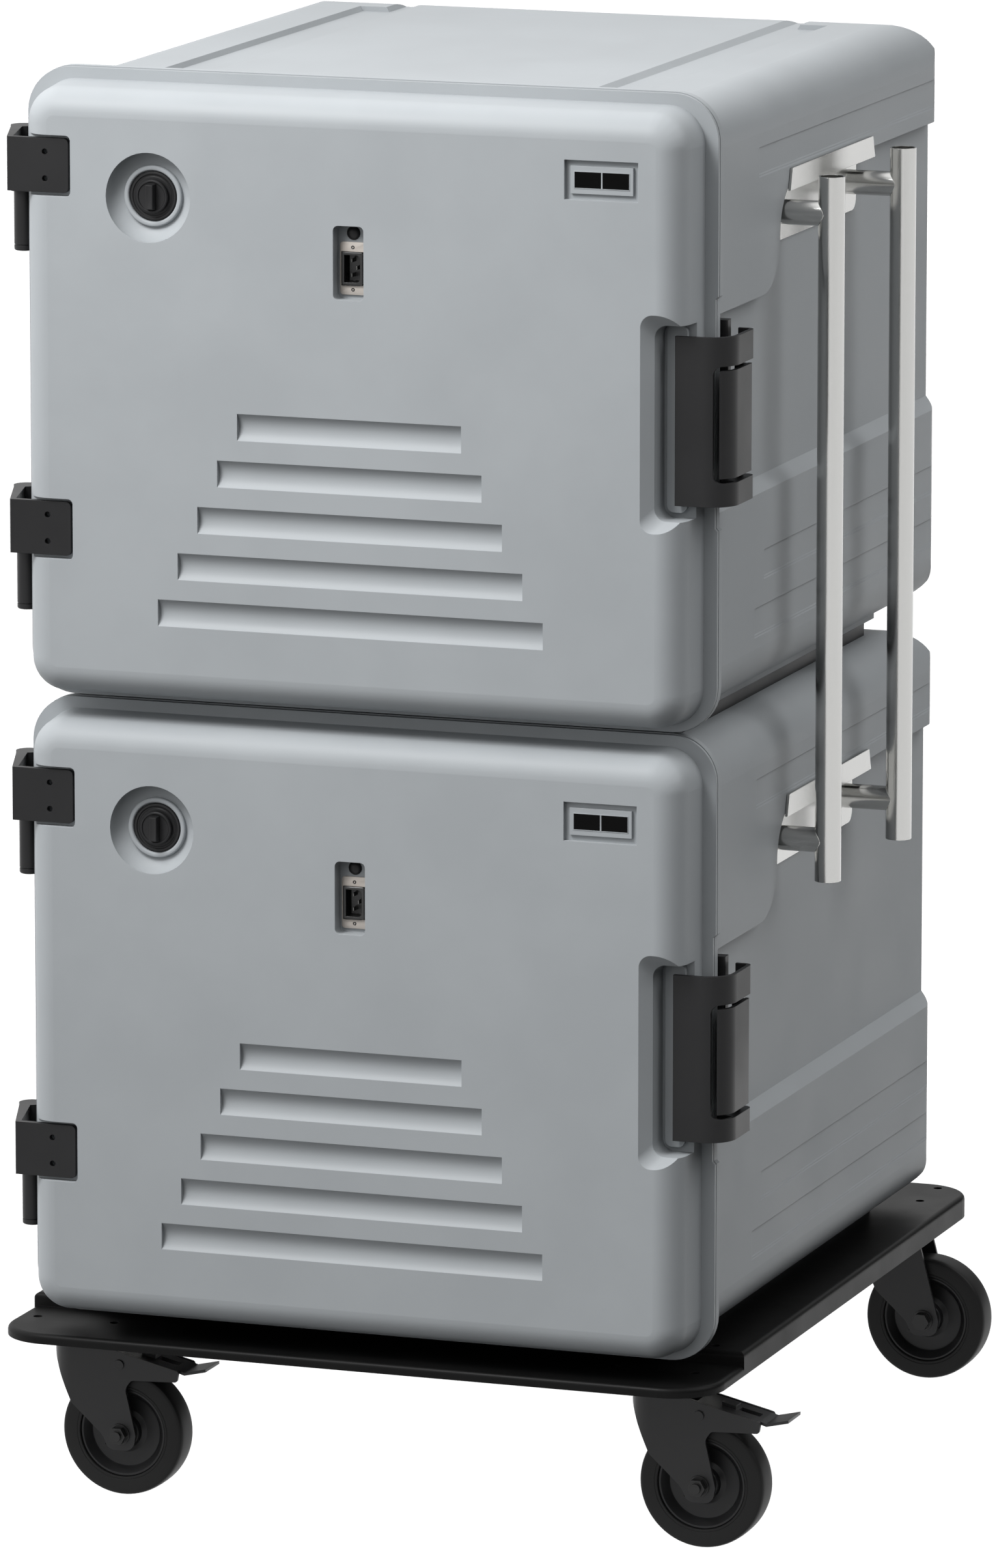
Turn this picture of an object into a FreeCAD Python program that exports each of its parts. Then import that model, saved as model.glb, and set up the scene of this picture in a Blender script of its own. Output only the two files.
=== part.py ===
"""Enclosed meal tray cart: two stacked, heated, insulated boxes on a caster deck.

Millimetres. X runs across the doors (+X is the latch and push-handle side), Y runs
from the doors (-Y) to the back, Z is up from the floor. While the pieces are drawn,
X = 0 is the middle of the boxes, Y = 0 the front face of the door flange and Z = 0
the floor; box pieces are drawn with Z = 0 at the foot of their own box. At the end
everything moves together, so that the origin is the middle of the footprint on the floor.
"""
import FreeCAD, Part
import math
import os

V = FreeCAD.Vector

# ------------------------------------------------------------------ stack
box_pitch = 605.0          # height of one box, foot to foot
run_fit = 0.05             # radial clearance of a shaft that turns in its hole
part_gap = 0.5             # gap between pieces that pass or meet without touching

# ------------------------------------------------------------------ box body
rim_half_w = 345.0         # front frame, half of its width
rim_corner_r = 45.0
rim_front = 5.5            # front face of the frame, behind the door flange
rim_depth = 8.5
body_inset = 12.0          # the body stands back from the frame all round
body_rear = 730.0
body_corner_r = 45.0       # long edges, front to back
body_top_rear_r = 75.0
body_low_rear_r = 45.0
body_side_rear_r = 30.0
skin = 5.0                 # outer plastic skin round the foam

grip_depth = 13.0          # side recess that the fingers reach into
grip_low = 216.0
grip_high = box_pitch - 112.0
grip_step = 100.0          # the recess is this much lower beside the latch
grip_neck = grip_high - grip_step
grip_front = 220.0         # where the recess rises to full height
grip_curve_r = 49.0
ledge_drop = 11.0          # slope of the ledge under the recess
band_depth = 1.3           # shallow stripes in the sides
band_height = 25.0
band_starts = ((box_pitch - 95.0, 156.0), (124.0, 176.0), (71.0, 148.0))   # lower edge, front end
band_bead = 1.2            # flats and slopes of the stepped lower edge of a stripe

channel_in = rim_half_w - 153.0    # two shallow channels in the top, inner and outer edge
channel_out = rim_half_w - 100.0
channel_depth = 5.0
channel_slope = 6.0
channel_neck = 28.0        # the channels narrow by this at the back
channel_neck_from = body_rear - 98.0
foot_in = rim_half_w - 130.0       # runners under the box
foot_out = rim_half_w - 57.0
foot_front = 60.0
foot_rear = body_rear - 70.0
spacer_inset = 4.0

# ------------------------------------------------------------------ cavity
liner_half_w = rim_half_w - 75.0
liner_low = 48.0
liner_high = box_pitch - 48.0
liner_rear = body_rear - 75.0
liner_wall = 2.5
liner_corner_r = 20.0
rail_count = 6
rail_pitch = (liner_high - liner_low - 134.0) / (rail_count - 1)
rail_first = liner_low + 46.0
rail_width = 10.0
rail_height = 6.0
rail_front = 45.0
rail_rear = liner_rear - 15.0

# ------------------------------------------------------------------ door
flange_t = 4.0
door_gap = 1.5             # above and below the flange, between the two boxes
flange_show = 13.0         # flange seen beside the bulge
bulge_half_w = rim_half_w - flange_show
bulge_low = 8.2
bulge_high = box_pitch - 12.3
bulge_corner_r = 36.0
bulge_depth = 58.0
bulge_draft = 5.0
bulge_edge_r = 26.0
plug_clear = 11.5          # air between the plug and the liner
plug_depth = 18.0
plug_corner_r = 16.0
pan_t = 2.5
seal_width = 10.0
seal_reach = 10.0          # from the liner opening to the inside of the seal
seal_groove = 5.0
seal_air = 0.3

groove_count = 5
groove_r = 17.4
groove_sink = 5.6
groove_top = 277.0
groove_pitch = 45.4
groove_half_len = 112.0
groove_step = 20.25

display_x0, display_x1 = bulge_half_w - 118.2, bulge_half_w - 45.8
display_z0, display_z1 = box_pitch - 97.0, box_pitch - 60.0
display_sink = 5.0
display_frame = 5.5        # floor strip round the raised frame
display_rise = 3.0
window_margin = 4.0
window_gap = 1.2
window_h = 15.0
window_t = 2.0

inlet_half_w = 15.2
inlet_low, inlet_high = box_pitch - 202.3, box_pitch - 132.3
inlet_sink = 15.0
inlet_corner_r = 5.0
inlet_plate_half_w = inlet_half_w - 2.2
inlet_plate_low, inlet_plate_high = inlet_low + 3.7, inlet_low + 53.5
inlet_plate_t = 2.0
inlet_body_half_w = inlet_plate_half_w - 2.0
inlet_body_half_h = 16.0
inlet_body_deep = 14.0
inlet_lip = 2.0
inlet_mouth_half_w = inlet_body_half_w - 3.0
inlet_mouth_half_h = inlet_body_half_h - 3.5
inlet_screw_pitch = 40.0
inlet_screw_r = 3.2
inlet_cap_z = inlet_high - 8.1
inlet_cap_r = 6.0
inlet_cap_h = 4.0
contact_w, contact_t, contact_len = 2.0, 4.0, 10.0

vent_x, vent_z = 131.2 - bulge_half_w, box_pitch - 114.7
vent_r = 42.5
vent_floor_r = 28.0
vent_sink = 16.6
vent_ring_r = vent_floor_r - 4.5
vent_ring_t = 3.0
vent_collar_in = vent_ring_r + 0.7     # raised collar of the door round the ring
vent_collar_w = 5.0
vent_collar_h = 4.4
vent_collar_round = 2.0
vent_knob_r = vent_ring_r - 7.5
vent_knob_t = 4.0
vent_stem_r = 4.0
vent_grip_len, vent_grip_w, vent_grip_h = 25.0, 9.5, 7.0

# ------------------------------------------------------------------ latch
pocket_x = rim_half_w - 46.0       # left wall of the latch pocket
pocket_low, pocket_high = grip_low - 7.0, grip_neck
pocket_floor = -18.0
pocket_bevel = 11.0
pocket_corner_r = 12.0
seat_x0, seat_x1 = pocket_x + 4.0, pocket_x + 24.0
seat_low, seat_high = pocket_low + 5.0, pocket_high - 3.0
seat_t = 5.0
latch_notch = 2.6          # the flange and the frame stand back beside the latch
latch_notch_low, latch_notch_high = pocket_low - 15.0, pocket_high + 22.0
clasp_x0 = pocket_x + 15.0
clasp_front = pocket_floor - 14.5
clasp_side = rim_half_w + 23.0
clasp_rear = 42.0
clasp_return = rim_half_w + 7.0
clasp_t = 4.0
clasp_r = 27.0
clasp_hook_r = 8.0
clasp_low, clasp_high = seat_low + 8.0, seat_high - 8.5
window_low, window_high = clasp_low + 22.0, clasp_high - 27.5
window_x = rim_half_w + 5.5
window_r = 8.0
lever_gap = 4.3            # above and below the lever
lever_side_gap = 5.2
lever_inset = 1.0
lever_pin_x, lever_pin_y = rim_half_w + 12.0, 30.0
lever_pin_r = 3.0
lever_barrel_r = 5.5
lever_tail = 36.0
keeper_x0, keeper_x1 = rim_half_w - 11.0, rim_half_w + 3.0
keeper_y0, keeper_y1 = 19.0, 31.0
keeper_low, keeper_high = grip_low + 2.0, grip_neck - 2.0
keeper_foot_h = 20.0

# ------------------------------------------------------------------ door hinges
hinge_x, hinge_y = -rim_half_w - 16.5, 29.0
hinge_z = (169.9, box_pitch - 88.7)    # middles of the two leaves
leaf_half_h = 25.8
leaf_sink = 3.0            # the leaf stands back from the bulge's face
leaf_front = leaf_sink - bulge_depth
leaf_t = 6.0
leaf_left = -rim_half_w + 0.5
leaf_right = 49.5 - bulge_half_w
leaf_arm_t = 4.0
leaf_corner_r = 5.0
leaf_hole_x = 25.8 - bulge_half_w
leaf_hole_half = 12.75
leaf_hole_r = 2.9
leaf_margin = 3.2
leaf_hole_deep = 10.0
knuckle_r = 12.5
pin_r = knuckle_r - 2.5
pin_below = 68.5           # below the leaf
pin_groove = 1.0
bracket_ring_h = 10.5
bracket_plate_t = 3.0
bracket_y0, bracket_y1 = 16.5, 62.0
bracket_half_h = 50.0
bracket_drop = 20.0        # the bracket's plate sits this much lower than the leaf
bracket_screw_r = 5.0

# ------------------------------------------------------------------ heater and fan
heater_half_w = 120.0
heater_low, heater_high = 190.0, 430.0
heater_depth = 44.0
heater_wall = 2.5
fan_r = 50.0
fan_mouth_r = fan_r + 4.0
fan_hub_r = 12.0
fan_width = 20.0
fan_blades = 9
fan_shaft_r = 3.0
motor_r = 28.0
motor_len = 12.0
coil_r = fan_mouth_r + 18.0
coil_tube_r = 4.0
slot_count = 6
slot_w, slot_h = 40.0, 6.0
guard_rings = (fan_mouth_r - 38.0, fan_mouth_r - 25.0, fan_mouth_r - 12.0)
guard_w = 2.4

# ------------------------------------------------------------------ deck and casters
deck_x0, deck_x1 = -rim_half_w - 26.0, rim_half_w + 12.0
deck_y0, deck_y1 = -54.0, body_rear + 71.0
deck_t = 22.5
deck_corner_r = 50.0
deck_step = 12.8           # the front strip is this much lower
deck_step_y = 54.5
deck_edge_r = 5.0
caster_x = (deck_x0 + 60.0, deck_x1 - 75.5)
caster_y = (deck_y0 + 98.0, deck_y1 - 50.0)
plate_len, plate_wid, plate_t = 105.0, 85.0, 3.0
bolt_dx, bolt_dy = 80.0, 60.0
bolt_hole_r = 4.4
bolt_r = bolt_hole_r - 0.4
bolt_head_r = 7.5
bolt_head_h = 5.0
bolt_sink = 4.0            # the bolt ends this far below the deck's surface
race_r = 26.0
race_h = 6.5
race_gap = 0.4
crown_r = race_r + 1.0
crown_rise = 4.6
king_r = 6.0
king_head_r = 10.0
king_head_h = 3.2
trail = 41.5               # swivel axis to axle
wheel_r = 62.5
wheel_w = 32.0
tyre_in_r = 44.0
tyre_edge_r = 4.0
hub_rim_r = tyre_in_r - 6.0
hub_rim_w = wheel_w - 4.0
hub_web_w = 10.0
hub_boss_r = 16.0
axle_r = 5.0
fork_half_w = 23.0
fork_t = 3.0
fork_web = 3.5
hub_boss_w = 2 * (fork_half_w - fork_t - 2.0)
wheel_top = 2 * wheel_r
fork_top = wheel_top + 26.0
fork_front = -wheel_r - 10.5       # from the axle
# outline of a cheek, each point as distance from the axle line and height
fork_back_line = ((fork_front + 1.0, wheel_top + 15.0), (-wheel_r - 0.5, wheel_top - 7.0),
                  (12.5 - wheel_r, wheel_r + 27.5), (-15.5, wheel_r - 4.0))
fork_foot_line = ((-14.0, wheel_r - 16.0), (14.0, wheel_r - 16.0), (16.5, wheel_r))
fork_brake_line = ((6.0, wheel_top - 17.0), (12.0, wheel_top - 8.0), (60.0, wheel_top - 6.0),
                   (62.0, wheel_top + 5.0), (5.0, wheel_top + 18.5),
                   (-10.0, wheel_top + 22.5), (-18.0, fork_top))
fork_plain_line = ((-3.0, wheel_top + 13.0), (-6.0, fork_top))
fork_big_r, fork_mid_r, fork_small_r = 10.0, 8.0, 3.0
rivet_r = 3.0
rivet_z = wheel_top + 6.8
rivet_head_r = 5.0
rivet_head_h = 1.8
nut_r = 9.0
nut_h = 7.5
washer_r = 10.5
washer_t = 1.5
thread_end = 3.0
pedal_half_w = fork_half_w - fork_t - 1.5
pedal_t = 3.0
pedal_line = ((-3.0, wheel_top + 20.0), (60.0, wheel_top + 5.2), (66.0, wheel_top + 3.4),
              (88.0, wheel_top + 8.5))
pedal_eye_r = 6.0
pedal_lug_long = 14.0
pedal_slot_x0, pedal_slot_x1 = 34.0, 55.0
pedal_slot_half_w = 5.5
pedal_clip_x0, pedal_clip_x1 = 18.0, 32.0
pedal_clip_half_w = 7.5
pedal_clip_h = 3.5
shoe_from, shoe_to = 14.0, 24.0
shoe_low, shoe_high = wheel_top + 2.2, wheel_top + 12.0
tyre_clear = 1.2

# ------------------------------------------------------------------ push handle
arm_z = grip_high - 29.7
arm_y = (241.0, 464.3)
arm_r = 12.0
arm_wall = 1.5
tube_x = rim_half_w + 32.2
tube_r = 12.7
tube_wall = 1.5
tube_above = 36.0
tube_below = 39.0
hook_t = 2.5
hook_low, hook_high = grip_high - 58.6, grip_high - 9.5
hook_y0, hook_y1 = 221.0, 486.0
hook_lip_y0, hook_lip_y1 = 242.0, 504.0
hook_lip_h = 21.0
hook_slant = 6.0
hook_corner_r = 12.0

# ------------------------------------------------------------------ derived
body_half_w = rim_half_w - body_inset
body_low = body_inset
body_high = box_pitch - body_inset
body_front = rim_front + rim_depth
grip_x = body_half_w - grip_depth
channel_floor = body_high - channel_depth
pan_face = flange_t + plug_depth + pan_t
wheel_z = wheel_r
plate_low = fork_top + crown_rise + race_gap + race_h
deck_low = plate_low + plate_t
deck_top = deck_low + deck_t       # floor to the upper level of the deck
box_feet = {"lower": deck_top, "upper": deck_top + box_pitch}
beyond = 20.0              # cutters run this far past what they cut


# ------------------------------------------------------------------ drawing helpers
def place(plane, a, b, c):
    """Point (a, b) of a plane, c along its normal."""
    if plane == "xz":
        return V(a, c, b)
    if plane == "yz":
        return V(c, a, b)
    return V(a, b, c)


def outline(points, radii, plane, level):
    """Closed wire through the points, each corner rounded by its radius."""
    count = len(points)
    if not isinstance(radii, (list, tuple)):
        radii = [radii] * count
    ends = []
    for i, (px, py) in enumerate(points):
        ax, ay = points[i - 1]
        bx, by = points[(i + 1) % count]
        to_a = V(ax - px, ay - py, 0).normalize()
        to_b = V(bx - px, by - py, 0).normalize()
        turn = math.acos(max(-1.0, min(1.0, to_a.dot(to_b))))
        back = radii[i] / math.tan(turn / 2)
        corner = V(px, py, 0)
        start, stop = corner + to_a * back, corner + to_b * back
        half = (to_a + to_b).normalize()
        middle = corner + half * (radii[i] / math.sin(turn / 2) - radii[i])
        ends.append((start, middle, stop, radii[i]))
    edges = []
    for i, (start, middle, stop, radius) in enumerate(ends):
        s, m, e = (place(plane, p.x, p.y, level) for p in (start, middle, stop))
        if radius > 0:
            edges.append(Part.Arc(s, m, e).toShape())
        following = ends[(i + 1) % count][0]
        n = place(plane, following.x, following.y, level)
        if e.distanceToPoint(n) > 1e-6:
            edges.append(Part.LineSegment(e, n).toShape())
    return Part.Wire(edges)


def prism(points, plane, start, stop, radii=0.0):
    """Outline extruded from one level of its plane to another."""
    face = Part.Face(outline(points, radii, plane, start))
    return face.extrude(place(plane, 0, 0, stop - start))


def rectangle(a0, a1, b0, b1):
    return [(a0, b0), (a1, b0), (a1, b1), (a0, b1)]


def block(x0, x1, y0, y1, z0, z1):
    return Part.makeBox(x1 - x0, y1 - y0, z1 - z0, V(x0, y0, z0))


def rod(radius, base, tip):
    way = tip - base
    return Part.makeCylinder(radius, way.Length, base, way)


def hexagon(across, base, tip):
    """Hexagonal prism with the given corner radius, along Y."""
    corners = []
    for i in range(6):
        turn = math.radians(60 * i)
        corners.append((base.x + across * math.cos(turn), base.z + across * math.sin(turn)))
    return prism(corners, "xz", base.y, tip.y)


def join(first, *others):
    solid = first
    for other in others:
        solid = solid.fuse(other)
    return solid.removeSplitter()


def carve(solid, *cutters):
    for cutter in cutters:
        solid = solid.cut(cutter)
    return solid


def mirror_x(shape):
    return shape.mirror(V(0, 0, 0), V(1, 0, 0))


# ------------------------------------------------------------------ box body
def rounded_body(inset, front):
    """The body's outer form, or the same form a skin further in."""
    half = body_half_w - inset
    low, high, rear = body_low + inset, body_high - inset, body_rear - inset
    along = prism(rectangle(-half, half, low, high), "xz", front, rear, body_corner_r - inset)
    side = prism([(front, low), (rear, low), (rear, high), (front, high)], "yz", -half, half,
                 [0, body_low_rear_r - inset, body_top_rear_r - inset, 0])
    plan = prism([(-half, front), (half, front), (half, rear), (-half, rear)], "xy", low, high,
                 [0, 0, body_side_rear_r - inset, body_side_rear_r - inset])
    return along.common(side).common(plan)


def grip_cutter():
    """Recess of the right side, with the sloping ledge below it."""
    rear = body_rear + beyond
    curve = min(grip_curve_r, grip_step / 2 - 1.0)
    pocket = prism([(body_front, grip_low), (body_front, grip_neck), (grip_front, grip_neck),
                    (grip_front, grip_high), (rear, grip_high), (rear, grip_low)],
                   "yz", grip_x, body_half_w + beyond,
                   [0, 0, curve, curve, 0, 0])
    drop = grip_low - ledge_drop
    ledge = prism([(grip_x, grip_low), (body_half_w, drop), (body_half_w + beyond, drop),
                   (body_half_w + beyond, grip_low + 1), (grip_x, grip_low + 1)],
                  "xz", body_front, rear)
    return pocket.fuse(ledge)


def band_cutters():
    """Shallow stripes of the right side."""
    cutters = []
    inner, outer, rear = body_half_w - band_depth, body_half_w + beyond, body_rear + beyond
    middle = body_half_w - band_depth / 2
    for low, front in band_starts:
        cutters.append(prism([(inner, low + band_height), (inner, low),
                              (middle, low - band_bead), (middle, low - 2 * band_bead),
                              (body_half_w, low - 3 * band_bead), (outer, low - 3 * band_bead),
                              (outer, low + band_height)], "xz", front, rear))
    return cutters


def channel_cutter(inner, outer, front, rear):
    """Shallow channel in the top, with sloping walls."""
    top = body_high + 1
    return prism([(inner, top), (inner, body_high), (inner + channel_slope, channel_floor),
                  (outer - channel_slope / 2, channel_floor), (outer, body_high), (outer, top)],
                 "xz", front, rear)


def latch_notch_cutter(front, rear):
    """Small set-back of the right edge beside the latch, with sloping ends."""
    edge = rim_half_w - latch_notch
    return prism([(edge, latch_notch_low + latch_notch), (rim_half_w + 1, latch_notch_low - 1),
                  (rim_half_w + 1, latch_notch_high + 1), (edge, latch_notch_high - latch_notch)],
                 "xz", front, rear)


def liner_block(front, inset):
    half = liner_half_w - inset
    return prism(rectangle(-half, half, liner_low + inset, liner_high - inset), "xz",
                 front, liner_rear - inset, liner_corner_r - inset)


def foam_block():
    """The room between the outer skin and the liner, as one solid block."""
    form = rounded_body(skin, rim_front + skin)
    half = grip_x - skin
    limit = block(-half, half, rim_front + skin, body_rear, 0, channel_floor - skin)
    return form.common(limit)


def shell():
    frame = prism(rectangle(-rim_half_w, rim_half_w, part_gap, box_pitch - part_gap), "xz",
                  rim_front, body_front, rim_corner_r)
    solid = frame.fuse(rounded_body(0.0, body_front))
    for x0, x1 in ((foot_in, foot_out), (-foot_out, -foot_in)):
        solid = solid.fuse(block(x0, x1, foot_front, foot_rear, 0, body_low))
    solid = solid.removeSplitter()
    cutters = [grip_cutter()] + band_cutters()
    cutters.append(channel_cutter(channel_in, channel_out, body_front, channel_neck_from))
    cutters.append(channel_cutter(channel_in, channel_out - channel_neck, channel_neck_from,
                                  body_rear + beyond))
    for cutter in list(cutters):
        cutters.append(mirror_x(cutter))
    solid = carve(solid, *cutters)
    solid = solid.cut(latch_notch_cutter(rim_front - 1, body_front))
    return carve(solid, foam_block(), liner_block(rim_front - 1, 0.0))


def insulation():
    return foam_block().cut(liner_block(rim_front, 0.0))


def liner():
    """Inner box with a ladder of tray rails on each side wall."""
    tub = liner_block(rim_front, 0.0).cut(liner_block(rim_front - 1, liner_wall))
    wall = liner_half_w - liner_wall
    pieces = [tub]
    for i in range(rail_count):
        low = rail_first + i * rail_pitch
        rail = block(wall - rail_width, wall, rail_front, rail_rear, low, low + rail_height)
        pieces += [rail, mirror_x(rail)]
    return Part.makeCompound(pieces)


# ------------------------------------------------------------------ door
def bulge():
    """The thick, soft-edged front of the door."""
    foot = outline(rectangle(-bulge_half_w, bulge_half_w, bulge_low, bulge_high),
                   bulge_corner_r, "xz", 0.0)
    half = bulge_half_w - bulge_draft
    face = outline(rectangle(-half, half, bulge_low + bulge_draft, bulge_high - bulge_draft),
                   bulge_corner_r - bulge_draft, "xz", -bulge_depth)
    solid = Part.makeLoft([foot, face], True, True)
    front = [e for e in solid.Edges if all(abs(v.Y + bulge_depth) < 1e-4 for v in e.Vertexes)]
    return solid.makeFillet(bulge_edge_r, front)


def groove_cutters():
    """Five shallow scoops, each longer than the one above."""
    cutters = []
    depth_of_axis = -bulge_depth - groove_r + groove_sink
    for i in range(groove_count):
        half = groove_half_len + i * groove_step
        z = groove_top - i * groove_pitch
        cutters.append(rod(groove_r, V(-half, depth_of_axis, z), V(half, depth_of_axis, z)))
    return cutters


def vent_dish():
    """Round dish of the vent: a bowl wall down to a flat floor."""
    wall = vent_r - vent_floor_r
    floor = -bulge_depth + vent_sink
    mid = math.sqrt(0.5)
    lip = V(vent_r, -bulge_depth, 0)
    bowl = Part.Arc(lip, V(vent_floor_r + wall * mid, floor - vent_sink * (1 - mid), 0),
                    V(vent_floor_r, floor, 0)).toShape()
    corners = [V(vent_floor_r, floor, 0), V(0, floor, 0), V(0, -bulge_depth - 1, 0),
               V(vent_r, -bulge_depth - 1, 0), lip]
    sides = [Part.LineSegment(corners[i], corners[i + 1]).toShape() for i in range(4)]
    face = Part.Face(Part.Wire([bowl] + sides))
    dish = face.revolve(V(0, 0, 0), V(0, 1, 0), 360)
    dish.translate(V(vent_x, 0, vent_z))
    return dish


def vent_collar():
    """Round-topped collar on the floor of the dish, round the black ring."""
    floor = -bulge_depth + vent_sink
    root = V(vent_x, floor + 1, vent_z)
    top = V(vent_x, floor - vent_collar_h, vent_z)
    collar = rod(vent_collar_in + vent_collar_w, root, top).cut(rod(vent_collar_in, root, top))
    rims = [e for e in collar.Edges if abs(e.BoundBox.YMin - top.y) < 1e-4]
    return collar.makeFillet(vent_collar_round, rims)


def latch_pocket():
    """Pocket for the latch at the right edge, its mouth bevelled all round."""
    right = rim_half_w + beyond
    bottom = rectangle(pocket_x, right, pocket_low, pocket_high)
    mouth = rectangle(pocket_x - pocket_bevel, right, pocket_low - pocket_bevel,
                      pocket_high + pocket_bevel)
    well = prism(bottom, "xz", -bulge_depth - 1, pocket_floor, pocket_corner_r)
    bevel = Part.makeLoft([outline(bottom, pocket_corner_r, "xz", -bulge_depth + pocket_bevel),
                           outline(mouth, pocket_corner_r, "xz", -bulge_depth - part_gap)],
                          True, True)
    return well.fuse(bevel)


def hinge_pocket(middle):
    """Flat step in the bulge that a hinge leaf lies on."""
    half = leaf_half_h + leaf_margin
    return prism(rectangle(-rim_half_w - beyond, leaf_right + leaf_margin,
                           middle - half, middle + half), "xz",
                 -bulge_depth - 1, leaf_front + leaf_t, [0, leaf_corner_r, leaf_corner_r, 0])


def plug_outline(inset):
    half = liner_half_w - plug_clear - inset
    return rectangle(-half, half, liner_low + plug_clear + inset, liner_high - plug_clear - inset)


def seal_ring(front, rear):
    """Rectangular ring round the opening."""
    inner = liner_half_w + seal_reach
    outer = inner + seal_width
    low, high = liner_low - seal_reach, liner_high + seal_reach
    body = prism(rectangle(-outer, outer, low - seal_width, high + seal_width), "xz",
                 front, rear, liner_corner_r + seal_width)
    return body.cut(prism(rectangle(-inner, inner, low, high), "xz", front, rear, liner_corner_r))


def display_frame_block():
    """Raised frame in the display recess."""
    floor = -bulge_depth + display_sink
    return block(display_x0 + display_frame, display_x1 - display_frame,
                 floor - display_rise, floor + 1,
                 display_z0 + display_frame, display_z1 - display_frame)


def display_windows():
    """Two dark readout windows side by side, set into the raised frame."""
    x0 = display_x0 + display_frame + window_margin
    x1 = display_x1 - display_frame - window_margin
    middle = (x0 + x1) / 2
    z = (display_z0 + display_z1) / 2
    front = -bulge_depth + display_sink - display_rise
    panes = []
    for a, b in ((x0, middle - window_gap / 2), (middle + window_gap / 2, x1)):
        panes.append(block(a, b, front, front + window_t, z - window_h / 2, z + window_h / 2))
    return panes


def door_shell():
    """Foam-filled moulding: flange, bulge and the plug that fills the opening."""
    flange = prism(rectangle(-rim_half_w, rim_half_w, door_gap, box_pitch - door_gap), "xz",
                   0.0, flange_t, rim_corner_r - 1)
    plug = prism(plug_outline(pan_t), "xz", 0.0, flange_t + plug_depth, plug_corner_r - pan_t)
    solid = join(flange, bulge(), plug)
    cutters = groove_cutters() + [vent_dish(), latch_pocket()]
    cutters += [hinge_pocket(z) for z in hinge_z]
    cutters.append(latch_notch_cutter(-bulge_depth, flange_t + 1))
    cutters.append(seal_ring(flange_t - seal_groove, flange_t + 1))
    cutters.append(block(display_x0, display_x1, -bulge_depth - 1, -bulge_depth + display_sink,
                         display_z0, display_z1))
    cutters.append(prism(rectangle(-inlet_half_w, inlet_half_w, inlet_low, inlet_high), "xz",
                         -bulge_depth - 1, -bulge_depth + inlet_sink, inlet_corner_r))
    cutters.append(inlet_case(0.0))
    cutters.append(rod(vent_stem_r + 2, V(vent_x, -bulge_depth, vent_z), V(vent_x, -20, vent_z)))
    for z in hinge_z:
        for side in (-1, 1):
            at = z + side * leaf_hole_half
            cutters.append(rod(leaf_hole_r, V(leaf_hole_x, leaf_front, at),
                               V(leaf_hole_x, leaf_front + leaf_hole_deep, at)))
    solid = carve(solid, *cutters)
    solid = solid.fuse(display_frame_block()).fuse(vent_collar())
    solid = carve(solid, *display_windows())
    seat = prism(rectangle(seat_x0, seat_x1, seat_low, seat_high), "xz",
                 pocket_floor - seat_t, pocket_floor + 1, 7.0)
    return join(solid, seat)


def door_liner():
    """Pan over the plug, on the warm side of the door."""
    rear = flange_t + plug_depth
    pan = prism(plug_outline(0.0), "xz", flange_t, rear + pan_t, plug_corner_r)
    return pan.cut(prism(plug_outline(pan_t), "xz", flange_t - 1, rear, plug_corner_r - pan_t))


def door_seal():
    return seal_ring(flange_t - seal_groove, rim_front - seal_air)


# ------------------------------------------------------------------ door furniture
def inlet_case(grow):
    """Block of the mains inlet behind its plate."""
    z = (inlet_plate_low + inlet_plate_high) / 2
    front = -bulge_depth + inlet_sink - inlet_plate_t - inlet_lip
    return block(-inlet_body_half_w - grow, inlet_body_half_w + grow,
                 front, front + inlet_lip + inlet_plate_t + inlet_body_deep,
                 z - inlet_body_half_h - grow, z + inlet_body_half_h + grow)


def power_inlet():
    """Plate, socket with three contacts, two screws and the round cap above."""
    floor = -bulge_depth + inlet_sink
    face = floor - inlet_plate_t
    z = (inlet_plate_low + inlet_plate_high) / 2
    plate = prism(rectangle(-inlet_plate_half_w, inlet_plate_half_w, inlet_plate_low,
                            inlet_plate_high), "xz", face, floor, 3.0)
    case = join(plate, inlet_case(0.0))
    mouth_half = inlet_mouth_half_w
    mouth = prism([(-mouth_half, z - inlet_mouth_half_h), (mouth_half - 3, z - inlet_mouth_half_h),
                   (mouth_half, z - inlet_mouth_half_h + 4), (mouth_half, z + inlet_mouth_half_h - 4),
                   (mouth_half - 3, z + inlet_mouth_half_h), (-mouth_half, z + inlet_mouth_half_h)],
                  "xz", face - inlet_lip - 1, floor + inlet_body_deep - inlet_lip)
    case = case.cut(mouth)
    rear = floor + inlet_body_deep - inlet_lip
    for dx, dz in ((-2.5, -7.0), (2.5, 0.0), (-2.5, 7.0)):
        contact = block(dx - contact_w / 2, dx + contact_w / 2, rear - contact_len, rear + 1,
                        z + dz - contact_t / 2, z + dz + contact_t / 2)
        case = case.fuse(contact)
    for side in (-1, 1):
        at = z + side * inlet_screw_pitch / 2
        case = case.fuse(rod(inlet_screw_r, V(0, face - 1, at), V(0, face + 1, at)))
    cap = Part.makeSphere(inlet_cap_r, V(0, floor + inlet_cap_r - inlet_cap_h, inlet_cap_z))
    keep = block(-inlet_cap_r, inlet_cap_r, floor - inlet_cap_h - 1, floor,
                 inlet_cap_z - inlet_cap_r, inlet_cap_z + inlet_cap_r)
    return Part.makeCompound([case.removeSplitter(), cap.common(keep)])


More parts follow.
